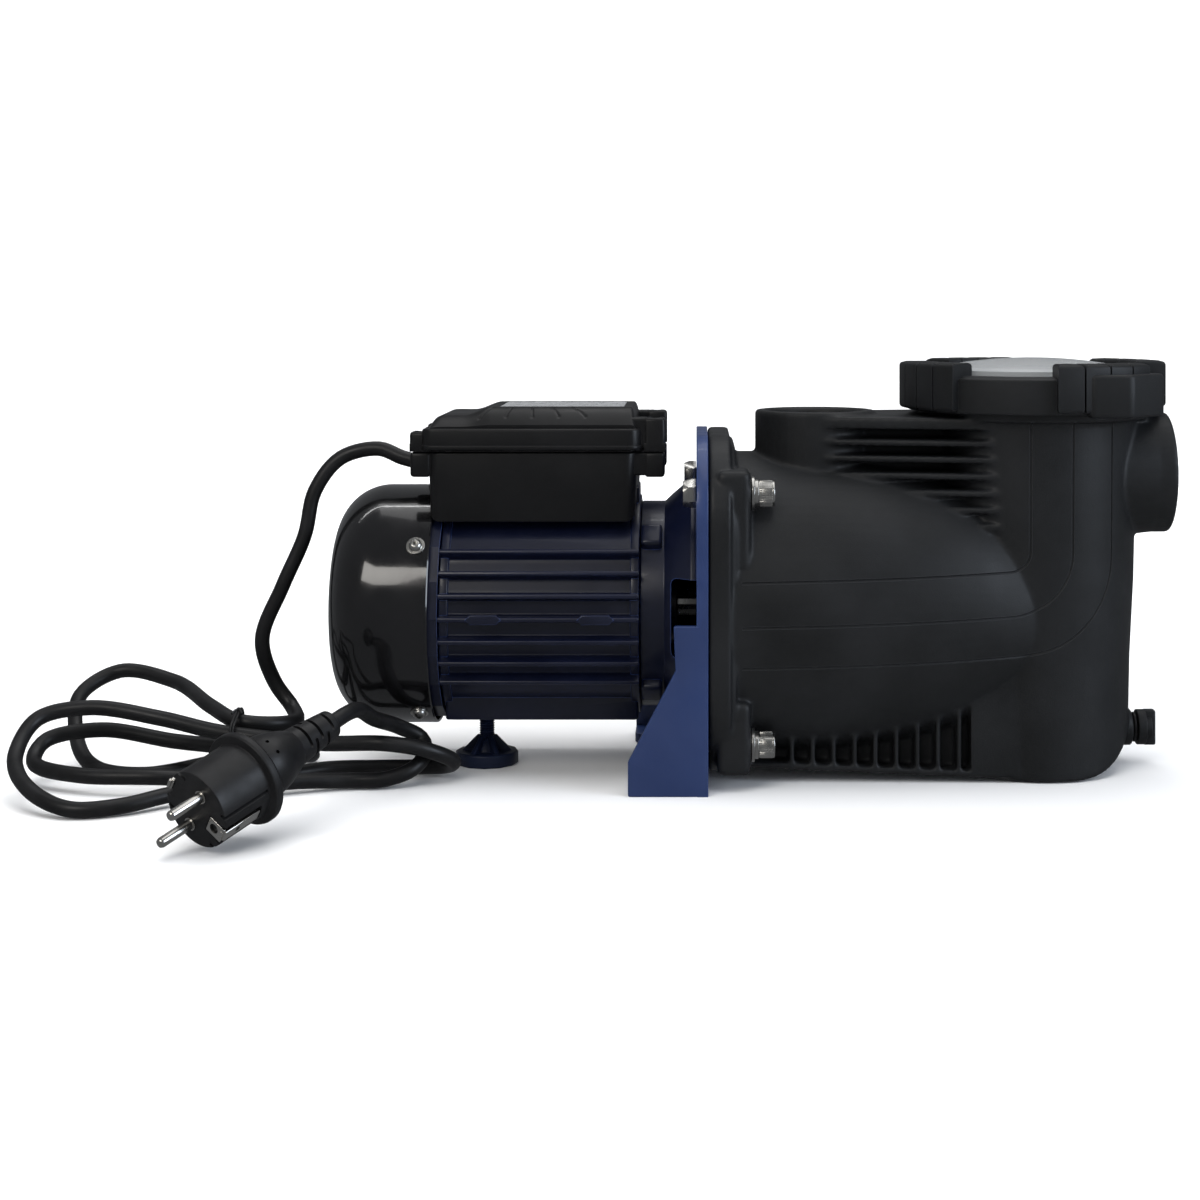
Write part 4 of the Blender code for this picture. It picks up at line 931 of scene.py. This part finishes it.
def front_end_bracket():
    """Bell that flares from the motor to the bracket, with open windows round it."""
    outside = [(0.0536, -0.0347), (0.0536, -0.0225), (0.0570, -0.0190), (0.0655, -0.0090), (0.0655, -0.0064)]
    inside = [(0.0600, -0.0064), (0.0540, -0.0160), (0.0490, -0.0225), (0.0490, -0.0300)]
    seat = [(0.0210, -0.0300), (0.0210, -0.0160), (0.0095, -0.0160), (0.0095, -0.0190)]
    seat += [(0.0163, -0.0190), (0.0163, -0.0347)]
    bell = shaft_at([*outside, *inside, *seat], closed=True, fillet=0.0009)
    lip_end = BRACKET_BACK - 0.00002
    lip = [(0.0650, lip_end), (0.0650, -0.0080), (0.0604, -0.0080), (0.0604, lip_end)]
    united(bell, shaft_at(lip, closed=True))
    cutters = []
    for angle, half in ((180, 0.020), (270, 0.012)):
        window = block((-0.0190, 0.044, SHAFT_Z - half), (-0.0045, 0.080, SHAFT_Z + half), 0.003)
        cutters.append(spun(window, angle, "X", (0, 0, SHAFT_Z)))
    cut(bell, *cutters)
    shapes = []
    for angle in (45, 135, 225, 315):
        ear = block((-0.0345, 0.047, SHAFT_Z - 0.0065), (-0.0235, 0.0585, SHAFT_Z + 0.0065), 0.002)
        shapes.append(spun(ear, angle, "X", (0, 0, SHAFT_Z)))
    united(bell, *shapes)
    piece("front_bell", bell, "pump", "navy_paint", "front_end_bracket")


def radial(angle, radius, x=-0.148):
    turn = math.radians(angle)
    return Vector((x, radius * math.cos(turn), SHAFT_Z + radius * math.sin(turn)))


def fan_cover():
    """Deep-drawn cap with a rounded end, a rolled rim and a slotted grille."""
    outer, wall, bend = COVER_RADIUS, 0.0013, 0.027
    middle = (outer - bend, COVER_END + bend)
    profile = [(outer - 0.0004, COVER_RIM), (outer, COVER_RIM - 0.0006)]
    profile += arc(middle, bend, 0, -90, 22)
    profile += [(0.0, COVER_END), (0.0, COVER_END + wall)]
    profile += arc(middle, bend - wall, -90, 0, 22)
    profile += [(outer - wall, COVER_RIM - 0.0006), (outer - wall + 0.0004, COVER_RIM)]
    cover = shaft_at(profile, steps=160, closed=True)
    slots = []
    for i in range(16):
        slot = block((COVER_END - 0.006, -0.0017, 0.0140), (COVER_END + 0.006, 0.0017, 0.0350), 0.0012)
        slots.append(moved(slot, Matrix.Translation((0, 0, SHAFT_Z))))
        spun(slots[-1], 22.5 * i, "X", (0, 0, SHAFT_Z))
    holes = [rod(0.0023, radial(angle, 0.045), radial(angle, 0.075)) for angle in COVER_SCREW_ANGLES]
    cut(cover, joined(slots), *holes)
    piece("fan_hood", cover, "pump", "black_paint", "fan_cover", sharp=30)


def cover_screws():
    """Button heads with a hexagon socket on a flat washer."""
    for i, angle in enumerate(COVER_SCREW_ANGLES, start=1):
        foot = radial(angle, COVER_RADIUS - 0.0001)
        out = (radial(angle, 0.1) - radial(angle, 0.05)).normalized()
        washer = [(0.0, 0.0009), (0.0047, 0.0009), (0.0047, 0.0), (0.0, 0.0)]
        head = [(0.0, 0.0030)] + arc((0.0008, 0.0007), 0.0027, 75, 12, 7) + [(0.0036, 0.0006), (0.0, 0.0006)]
        dome = turned(head, out, foot, 48)
        socket = prism(hexagon(0.0013), "Z", 0.0016, 0.0060, 0.0)
        turn = out.to_track_quat("Z", "Y").to_matrix().to_4x4()
        cut(dome, moved(socket, Matrix.Translation(foot) @ turn))
        shank = rod(0.0019, radial(angle, 0.0560), foot + out * 0.001, steps=24)
        screw = joined([dome, turned(washer, out, foot, 48, fillet=0.0002), shank])
        piece(f"button_screw_{i}", screw, "pump", "stainless", f"fan_cover_screw_{i}")


# ---- terminal box


def box_screw_places():
    return [(x, y) for x in (EAR_REAR_X, EAR_FRONT_X) for y in (-EAR_Y, EAR_Y)]


def ear(x, y, low, high, half):
    """A square, rounded screw post and the root that joins it to the box."""
    toward = 1 if x < -0.1 else -1
    root = sorted((x, x + toward * 0.014))
    return [
        block((x - half, y - half, low), (x + half, y + half, high), 0.0018),
        block((root[0], y - half + 0.0006, low + 0.0008), (root[1], y + half - 0.0006, high), 0.0014),
    ]


def terminal_box_base():
    low, high = BOX_LOW, BOX_HIGH
    rear, front, half = BOX_REAR, BOX_FRONT, BOX_HALF
    outline = rounded_rectangle((rear, -half), (front, half), 0.006)
    base = prism(outline, "Z", low.z, high.z, 0.0012)
    taper = 0.018
    for vertex in base.data.vertices:
        drop = high.z - vertex.co.z
        middle_x = (rear + front) / 2
        vertex.co.x = middle_x + (vertex.co.x - middle_x) * (1 - taper * drop / (high.z - low.z))
    shapes = []
    for x, y in box_screw_places():
        shapes += ear(x, y, 0.1545, high.z, 0.0052)
    united(base, *shapes)
    seat, wall = 0.1479, 0.0025
    cut(
        base,
        block((rear + wall, wall - half, 0.1505), (front - wall, half - wall, 0.200), 0.001),
        rod(0.0629, (-0.160, 0, SHAFT_Z), (-0.010, 0, SHAFT_Z), steps=128),
        block((-0.160, -0.0185, 0.100), (-0.010, 0.0185, seat), 0.0005),
        rod(0.0062, (-0.150, GLAND_Y, GLAND_Z), (-0.130, GLAND_Y, GLAND_Z)),
        *[rod(0.0019, (x, y, 0.150), (x, y, 0.180)) for x, y in box_screw_places()],
    )
    piece("junction_box_base", base, "pump", "satin_plastic", "terminal_box_base")


def lid_height(x, y):
    """Height of the lid's crown over its rim: low at the rear, higher in front, rounded sides."""
    rise = min(1.0, max(0.0, (x + 0.1260) / 0.0150))
    crown = 0.0068 + 0.0042 * rise * rise * (3 - 2 * rise)
    to_side = CROWN_HALF - abs(y)
    slope = min(1.0, max(0.0, to_side / 0.0125))
    side = 0.22 + 0.78 * (1 - (1 - slope) ** 1.7)
    to_end = min((x - CROWN_REAR) / 0.0065, (CROWN_FRONT - x) / 0.0030, 1.0)
    end = math.sqrt(max(0.0, 1 - (1 - max(0.0, to_end)) ** 2))
    return crown * min(side, 1.0) * end + panel_step(x, y) + ray_grooves(x, y)


def panel_step(x, y):
    """A shallow recess in the plateau for the blank panel."""
    inside = min(x - PANEL_REAR, PANEL_FRONT - x, PANEL_HALF - abs(y))
    return -0.0006 * min(1.0, max(0.0, inside / 0.0005))


def ray_grooves(x, y):
    """Five short grooves that fan out down each long side, each ending in a small dot."""
    depth = 0.0
    for k in range(-2, 3):
        start = Vector((-0.0905 + 0.0098 * k, 0.0300))
        end = Vector((-0.0900 + 0.0135 * k, 0.0385))
        place = Vector((x, abs(y)))
        along = (place - start).dot(end - start) / (end - start).length_squared
        nearest = start + (end - start) * min(1.0, max(0.0, along))
        far = (place - nearest).length
        depth = max(depth, 1 - (far / 0.00065) ** 2, 1 - ((place - end).length / 0.0011) ** 2)
    return -0.0005 * max(0.0, depth)


def crown_shape(floor):
    """The lid's crown as a height field closed by its walls and a flat underside."""
    low, high = Vector((CROWN_REAR, -CROWN_HALF)), Vector((CROWN_FRONT, CROWN_HALF))
    spacing = 0.0005
    counts = [round((high[i] - low[i]) / spacing) for i in (0, 1)]
    bm = bmesh.new()
    bmesh.ops.create_grid(bm, x_segments=counts[0], y_segments=counts[1], size=0.5)
    for vertex in bm.verts:
        x = low.x + (vertex.co.x + 0.5) * (high.x - low.x)
        y = low.y + (vertex.co.y + 0.5) * (high.y - low.y)
        vertex.co = (x, y, CROWN_FOOT + lid_height(x, y))
    rim = [edge for edge in bm.edges if edge.is_boundary]
    walls = bmesh.ops.extrude_edge_only(bm, edges=rim)["geom"]
    for vertex in [item for item in walls if isinstance(item, bmesh.types.BMVert)]:
        vertex.co.z = floor
    bmesh.ops.holes_fill(bm, edges=[edge for edge in bm.edges if edge.is_boundary])
    return shape_from(bm)


def terminal_box_lid():
    low, high = LID_LOW, LID_HIGH
    rim_low, rim_high = (LID_REAR, -LID_HALF), (LID_FRONT, LID_HALF)
    skirt = prism(rounded_rectangle(rim_low, rim_high, 0.0065), "Z", low.z, 0.1795, 0.0012)
    proud = 0.0004
    lip_low = (rim_low[0] - proud, rim_low[1] - proud)
    lip_high = (rim_high[0] + proud, rim_high[1] + proud)
    lip = prism(rounded_rectangle(lip_low, lip_high, 0.0069), "Z", low.z, low.z + 0.0022, 0.0006)
    shapes = [lip, crown_shape(0.1760)]
    for x, y in box_screw_places():
        top = 0.1778 if x < -0.1 else 0.1850
        post, root = ear(x, y, low.z, top, 0.0054)
        shapes += [post, root, block((x - 0.0054, y - 0.0054, BOX_HIGH.z + 0.0002),
                                     (x + 0.0054, y + 0.0054, low.z + 0.003), 0.0003)]
    united(skirt, *shapes)
    inside = block((-0.1390, -0.0380, 0.160), (-0.0400, 0.0380, 0.1812), 0.001)
    sunk = [rod(0.0043, (x, y, SCREW_SEAT), (x, y, 0.190)) for x, y in box_screw_places()]
    cut(skirt, inside, *sunk, *[rod(0.0023, (x, y, 0.160), (x, y, 0.190)) for x, y in box_screw_places()])
    piece("junction_box_lid", skirt, "pump", "satin_plastic", "terminal_box_lid")
    gap = 0.0007
    panel_low, panel_high = (PANEL_REAR + gap, gap - PANEL_HALF), (PANEL_FRONT - gap, PANEL_HALF - gap)
    panel = rounded_rectangle(panel_low, panel_high, 0.0015)
    plate = prism(panel, "Z", high.z - 0.0006, high.z - 0.0001, 0.0001)
    piece("lid_blank_panel", plate, "pump", "satin_plastic", look=PANEL_LOOK)


def box_fittings():
    """Gasket, screws and the cable gland."""
    low, high = low_of("terminal_box_gasket"), high_of("terminal_box_gasket")
    outer = rounded_rectangle(low.xy, high.xy, 0.0050)
    inner = rounded_rectangle((low.x + 0.0022, low.y + 0.0022), (high.x - 0.0022, high.y - 0.0022), 0.003)
    gasket = prism([outer, inner], "Z", low.z, high.z, 0.0003)
    piece("lid_gasket", gasket, "pump", "rubber", "terminal_box_gasket")
    for i, (x, y) in enumerate(box_screw_places(), start=1):
        foot = low_of(f"terminal_box_screw_{i}").z
        top = high_of(f"terminal_box_screw_{i}").z
        seat = top - 0.0021
        head = [(0.0, top), (0.0030, top - 0.0002), (0.0036, top - 0.0014), (0.0036, seat), (0.0015, seat)]
        head += [(0.0015, foot), (0.0, foot)]
        screw = turned(head, UP, (x, y, 0), 40, fillet=0.0003)
        slot = block((x - 0.0030, y - 0.0004, seat + 0.001), (x + 0.0030, y + 0.0004, top + 0.002), 0.0001)
        cross = block((x - 0.0004, y - 0.0030, seat + 0.001), (x + 0.0004, y + 0.0030, top + 0.002), 0.0001)
        cut(screw, slot, cross)
        piece(f"cross_screw_{i}", screw, "pump", "stainless", f"terminal_box_screw_{i}")
    low, high = low_of("cable_gland").x, high_of("cable_gland").x
    outside = BOX_REAR - 0.0003
    profile = [(0.0046, high), (0.0056, high), (0.0055, outside), (0.0070, outside)]
    profile += [(0.0070, low + 0.0015), (0.0060, low), (0.0046, low)]
    gland = turned(profile, ALONG, (0, GLAND_Y, GLAND_Z), 64, True, 0.0004)
    piece("cord_gland", gland, "pump", "satin_plastic", "cable_gland")


# ---- foot


def adjustable_foot():
    """A faceted disc with webs round its threaded stud."""
    height = high_of("adjustable_foot").z
    disc = arc((FOOT.x, 0), 0.0165, 0, 330, 12)
    base = prism(disc, "Z", 0.0, 0.0068, 0.0009)
    stud = [(0.0, height), (0.0040, height)]
    for k in range(20):
        z = height - 0.001 - THREAD_PITCH * k
        if z > 0.0125:
            stud += [(0.0040, z), (0.0034, z - 0.00062)]
    stud += [(0.0046, 0.0115), (0.0075, 0.0060), (0.0, 0.0055)]
    shapes = [turned(stud, UP, (FOOT.x, 0, 0), 40)]
    rib = [(-0.0150, 0.0050), (0.0150, 0.0050), (0.0050, 0.0150), (-0.0050, 0.0150)]
    for i in range(3):
        fin = moved(prism(rib, "Y", -0.0012, 0.0012, 0.0003), Matrix.Translation((FOOT.x, 0, 0)))
        shapes.append(spun(fin, 60 * i, "Z", (FOOT.x, 0, 0)))
    united(base, *shapes)
    piece("levelling_foot", base, "foot", "foot_plastic", "adjustable_foot")
    low, high = low_of("foot_lock_nut").z, high_of("foot_lock_nut").z
    nut = hex_nut((FOOT.x, 0), "Z", low, high, 0.0005)
    piece("levelling_nut", nut, "foot_nut", "stainless", "foot_lock_nut")


# ---- cord and plug


def smooth_route(controls, spacing):
    """A centripetal Catmull-Rom curve through the control points."""
    points = [Vector(place) for place in controls]
    points = [2 * points[0] - points[1], *points, 2 * points[-1] - points[-2]]
    route = []
    for before, start, end, after in zip(points, points[1:], points[2:], points[3:]):
        knots = [0.0]
        for a, b in ((before, start), (start, end), (end, after)):
            knots.append(knots[-1] + math.sqrt((b - a).length))
        count = max(2, round((end - start).length / spacing))
        for i in range(count):
            t = knots[1] + (knots[2] - knots[1]) * i / count
            level = [before, start, end, after]
            for span in (1, 2, 3):
                level = [
                    level[k].lerp(level[k + 1], share_between(t, knots, k, span))
                    for k in range(4 - span)
                ]
            route.append(level[0])
    route.append(points[-2])
    return route


def share_between(t, knots, k, span):
    """How far t is between the two knots that one step of the curve's pyramid joins."""
    low, high = (k, k + 1) if span == 1 else (k, k + 2) if span == 2 else (1, 2)
    return (t - knots[low]) / (knots[high] - knots[low])


def cord_controls():
    """From the plug, three turns of a loose figure tied behind it, then up into the gland."""
    right_loop = [(-171, -96, 47), (-166, -68, 37), (-157, -44, 28), (-147, -37, 21), (-144, -44, 15)]
    right_loop += [(-149, -54, 9), (-162, -59, 5), (-180, -60, 4.5), (-203, -68, 6)]
    outer_loop = [(-230, -80, 6), (-259, -94, 6), (-280, -112, 4.5), (-302, -118, 4.5), (-326, -103, 10)]
    outer_loop += [(-343, -72, 20), (-338, -52, 34), (-314, -45, 38), (-279, -46, 33), (-249, -54, 28)]
    far_loop = [(-229, -58, 26), (-196, -50, 21), (-162, -60, 23), (-142, -56, 19), (-130, -44, 11)]
    far_loop += [(-134, -34, 6), (-150, -30, 4.5), (-172, -31, 4.5), (-194, -36, 5), (-215, -50, 5)]
    inner_loop = [(-248, -62, 6), (-277, -72, 9), (-313, -68, 9), (-342, -47, 11), (-340, -33, 19)]
    inner_loop += [(-314, -27, 23), (-273, -36, 19), (-237, -47, 18), (-216, -32, 12), (-208, -8, 6)]
    high_loop = [(-222, 12, 5), (-245, 4, 5), (-262, -28, 5), (-286, -47, 4.5), (-315, -33, 5)]
    high_loop += [(-333, -5, 15), (-337, 16, 33), (-320, 30, 43), (-288, 18, 40), (-257, -25, 34.5)]
    rise = [(-239, -44, 31), (-222, -41, 29), (-213, -27, 28), (-218, -12, 32), (-228, -9, 45)]
    rise += [(-233, -15, 68), (-222, -16, 96), (-211, -14, 122), (-206, -12, 145), (-193, -10, 162)]
    rise += [(-173, -10, 167), (-160, -12.5, 162.5), (-151, -13, 160.5), (-126, -13, 160.5)]
    millimetres = right_loop + outer_loop + far_loop + inner_loop + high_loop + rise
    along = (PLUG_END - PLUG_FACE).normalized()
    return [PLUG_END - along * 0.022, PLUG_END, *[Vector(place) / 1000 for place in millimetres]]


def belt(x):
    """A closed route pulled tight round the tied cords."""
    rim = [Vector(p) for place in TIED_CORDS for p in arc(place, CORD_RADIUS + 0.0020, 0, 352, 45)]
    route = [(x, *rim[i]) for i in convex_hull_2d(rim)]
    return [*route, route[0]]


def power_cord():
    cord = wire(smooth_route(cord_controls(), 0.003), CORD_RADIUS, 5)
    piece("mains_cord", cord, "pump", "rubber", "power_cord", sharp=60)
    loops = [wire(belt(TIE_X + offset), 0.0007, 2) for offset in (-0.0007, 0.0007)]
    knot = Vector((TIE_X, *TIED_CORDS[-1])) + Vector((0, -0.0020, CORD_RADIUS + 0.0014))
    for side in SIDES:
        tail = [knot - ALONG * side * 0.0010, knot + Vector((side * 0.0010, -0.0016, 0.0006)),
                knot + Vector((side * 0.0026, -0.0040, -0.0008))]
        loops.append(wire(smooth_route(tail, 0.0006), 0.0007, 2))
    piece("cord_twist", joined(loops), "pump", "rubber", "cord_tie")


def plug_matrix():
    """Local +Z runs along the plug from its face to its cord, and local X joins the pins."""
    along = (PLUG_END - PLUG_FACE).normalized()
    level = along.cross(UP).normalized()
    drop = along.cross(level).normalized()
    turn = Matrix((level, drop, along)).transposed() @ Matrix.Rotation(math.radians(-52), 3, "Z")
    return Matrix.Translation(PLUG_FACE) @ turn.to_4x4()


def grip_profile():
    """Outline of the plug's barrel, from its flange to the end of the strain relief."""
    bulge = [(0.0134 + 0.0012 * math.sin(math.pi * i / 8), 0.0345 + 0.0018 * i) for i in range(9)]
    taper = [(0.0108, 0.0560), (0.0094, 0.0590), (0.0090, 0.0625), (0.0070, 0.0850)]
    return bulge + taper


def plug_body():
    core = [(0.0, 0.0), (0.0183, 0.0), (0.0183, 0.0272), (0.0218, 0.0278), (0.0222, 0.0290)]
    core += [(0.0222, 0.0312), (0.0215, 0.0322), (0.0150, 0.0326)]
    profile = filleted([*core, *grip_profile(), (0.0, 0.0850)], 0.0007)
    body = turned(profile[::-1], UP, steps=96)
    cutters = [rod(CORD_RADIUS + 0.0004, (0, 0, 0.060), (0, 0, 0.100))]
    for side in SIDES:
        cutters.append(rod(0.0027, (side * PIN_X, 0, -0.010), (side * PIN_X, 0, 0.0103)))
        y = side * 0.0185
        cutters.append(block((-0.0055, y - 0.0035, -0.005), (0.0055, y + 0.0035, 0.022), 0.0004))
        y = side * 0.0166
        for x in (-0.0100, 0.0100):
            cutters.append(block((x - 0.0008, y - 0.0040, -0.003), (x + 0.0008, y + 0.0060, 0.0262), 0.0003))
    cutters.append(block((-0.0046, 0.0078, -0.0020), (0.0046, 0.0170, 0.0011), 0.0003))
    for row in range(5):
        z = 0.0635 + 0.0040 * row
        for side in SIDES:
            x = side * 0.0092
            gap = block((x - 0.0042, -0.0090, z), (x + 0.0042, 0.0090, z + 0.0017), 0.0004)
            cutters.append(spun(gap, 90 * (row % 2), "Z"))
    for y in (-0.0035, 0.0035):
        for side in SIDES:
            start, end = (side * 0.0125, y, 0.0420), (side * 0.0160, y, 0.0420)
            cutters.append(rod(0.0009, start, end, steps=16))
    cut(body, *cutters)
    return body


def plug():
    matrix = plug_matrix()
    piece("mains_plug", moved(plug_body(), matrix), "pump", "rubber", "plug_body")
    for i, side in enumerate((-1, 1), start=1):
        pin = [(0.0, 0.0080), (0.0024, 0.0080), (0.0024, -0.0172), (0.0020, -0.0183), (0.0011, -0.0189)]
        pin += [(0.0, -0.0190)]
        metal = turned(pin, UP, (side * PIN_X, 0, 0), 40)
        collar = [(0.0031, 0.0), (0.0031, -0.0007), (0.0025, -0.0007), (0.0025, 0.0)]
        rim = turned(collar, UP, (side * PIN_X, 0, 0), 40, True, 0.0001)
        piece(f"contact_pin_{i}", moved(joined([metal, rim]), matrix), "pump", "stainless",
              f"plug_pin_{i}", look=PIN_LOOK)
        low, high = sorted((side * 0.0160, side * 0.0182))
        clip = block((-0.0030, low, 0.0005), (0.0030, high, 0.0215), 0.0004)
        spring = block((-0.0024, low - 0.0004, -0.0004), (0.0024, high - 0.0010, 0.0012), 0.0003)
        united(clip, spring)
        if side == 1:
            united(clip, block((-0.0042, 0.0082, -0.0002), (0.0042, 0.0172, 0.0007), 0.0002))
            cut(clip, rod(0.0024, (0, 0.0120, -0.002), (0, 0.0120, 0.002), steps=32))
        cut(clip, rod(0.0013, (0, side * 0.010, 0.0085), (0, side * 0.025, 0.0085), steps=24))
        piece(f"earth_contact_{i}", moved(clip, matrix), "pump", "stainless",
              f"plug_earth_clip_{i}", look=PIN_LOOK)


# ---- everything else


def finish_cad_nodes():
    """Gives each CAD node that still shows the material of its slot."""
    slots = {part["node"]: part["material_slot"] for part in frame["record"]["subparts"]}
    for name, obj in frame["nodes"].items():
        obj.data.materials.clear()
        obj.data.materials.append(LOOKS[slots[name]])


def stage():
    """A pale floor that curves up into a backdrop."""
    bend, back, wide = 1.2, 2.6, 5.0
    profile = [(-2.4, 0.0)] + arc((back, bend), bend, -90, 0, 24) + [(back + bend, 4.0)]
    bm = bmesh.new()
    rows = [[bm.verts.new((x, y, z)) for y, z in profile] for x in (-wide, wide)]
    for i in range(len(profile) - 1):
        bm.faces.new((rows[0][i], rows[1][i], rows[1][i + 1], rows[0][i + 1]))
    mesh = bpy.data.meshes.new("floor")
    bm.to_mesh(mesh)
    bm.free()
    mesh.shade_smooth()
    floor = shape(mesh)
    floor.name = "floor"
    look = new_look("floor_look", (0.95, 0.95, 0.95), 0.7)
    vary_colour(look, (0.94, 0.94, 0.94), (0.96, 0.96, 0.96), 2.0)
    mesh.materials.append(look)
    floor.visible_glossy = False


def area_light(name, place, size, power, colour=(1, 1, 1), target=(0, 0, 0.09), glossy=True,
               diffuse=True):
    light = bpy.data.lights.new(name, "AREA")
    light.shape = "RECTANGLE"
    light.size, light.size_y = size
    light.energy = power
    light.color = colour
    obj = bpy.data.objects.new(name, light)
    bpy.context.scene.collection.objects.link(obj)
    obj.location = place
    obj.rotation_euler = (Vector(target) - Vector(place)).to_track_quat("-Z", "Y").to_euler()
    obj.visible_glossy, obj.visible_diffuse = glossy, diffuse


def studio():
    """Even light for the pale floor, with a dim room and a few soft windows in the reflections."""
    world = bpy.data.worlds.new("studio")
    bpy.context.scene.world = world
    world.use_nodes = True
    background = world.node_tree.nodes["Background"]
    background.inputs["Color"].default_value = (0.92, 0.95, 1.0, 1.0)
    ray = node(world, "ShaderNodeLightPath")
    strength = node(world, "ShaderNodeMapRange", {"To Min": 0.42, "To Max": 0.15})
    wire_up(world, ray, "Is Glossy Ray", strength, "Value")
    wire_up(world, strength, "Result", background, "Strength")
    area_light("overhead", (-0.2, -0.1, 1.9), (2.6, 1.8), 42, glossy=False)
    area_light("ceiling_sheen", (0.3, 0.1, 1.9), (2.6, 1.4), 11, diffuse=False)
    area_light("left_window", (-0.80, -1.40, 1.10), (0.95, 0.55), 8, (1.0, 0.97, 0.92))
    area_light("right_window", (1.7, -0.9, 0.7), (1.0, 1.2), 19, (0.78, 0.87, 1.0))
    area_light("backdrop_wash", (0, 0.9, 2.2), (3.5, 0.8), 95, target=(0, 3.2, 1.0))


def camera():
    data = bpy.data.cameras.new("camera")
    data.sensor_width = 36.0
    data.lens = 61.5
    data.shift_x, data.shift_y = -0.079, -0.25
    obj = bpy.data.objects.new("camera", data)
    bpy.context.scene.collection.objects.link(obj)
    obj.location = JOINT + Vector((-0.007, -1.086, 0.245))
    obj.rotation_euler = (math.pi / 2, 0, 0)
    bpy.context.scene.camera = obj
    bpy.context.scene.view_settings.view_transform = "Standard"


finish_cad_nodes()
pump_housing()
lid_lens()
lid_locking_ring()
o_rings()
strainer_basket()
drain_plug()
mounting_bracket()
flange_bolts()
motor_frame()
front_end_bracket()
fan_cover()
cover_screws()
terminal_box_base()
terminal_box_lid()
box_fittings()
adjustable_foot()
power_cord()
plug()
stage()
studio()
camera()
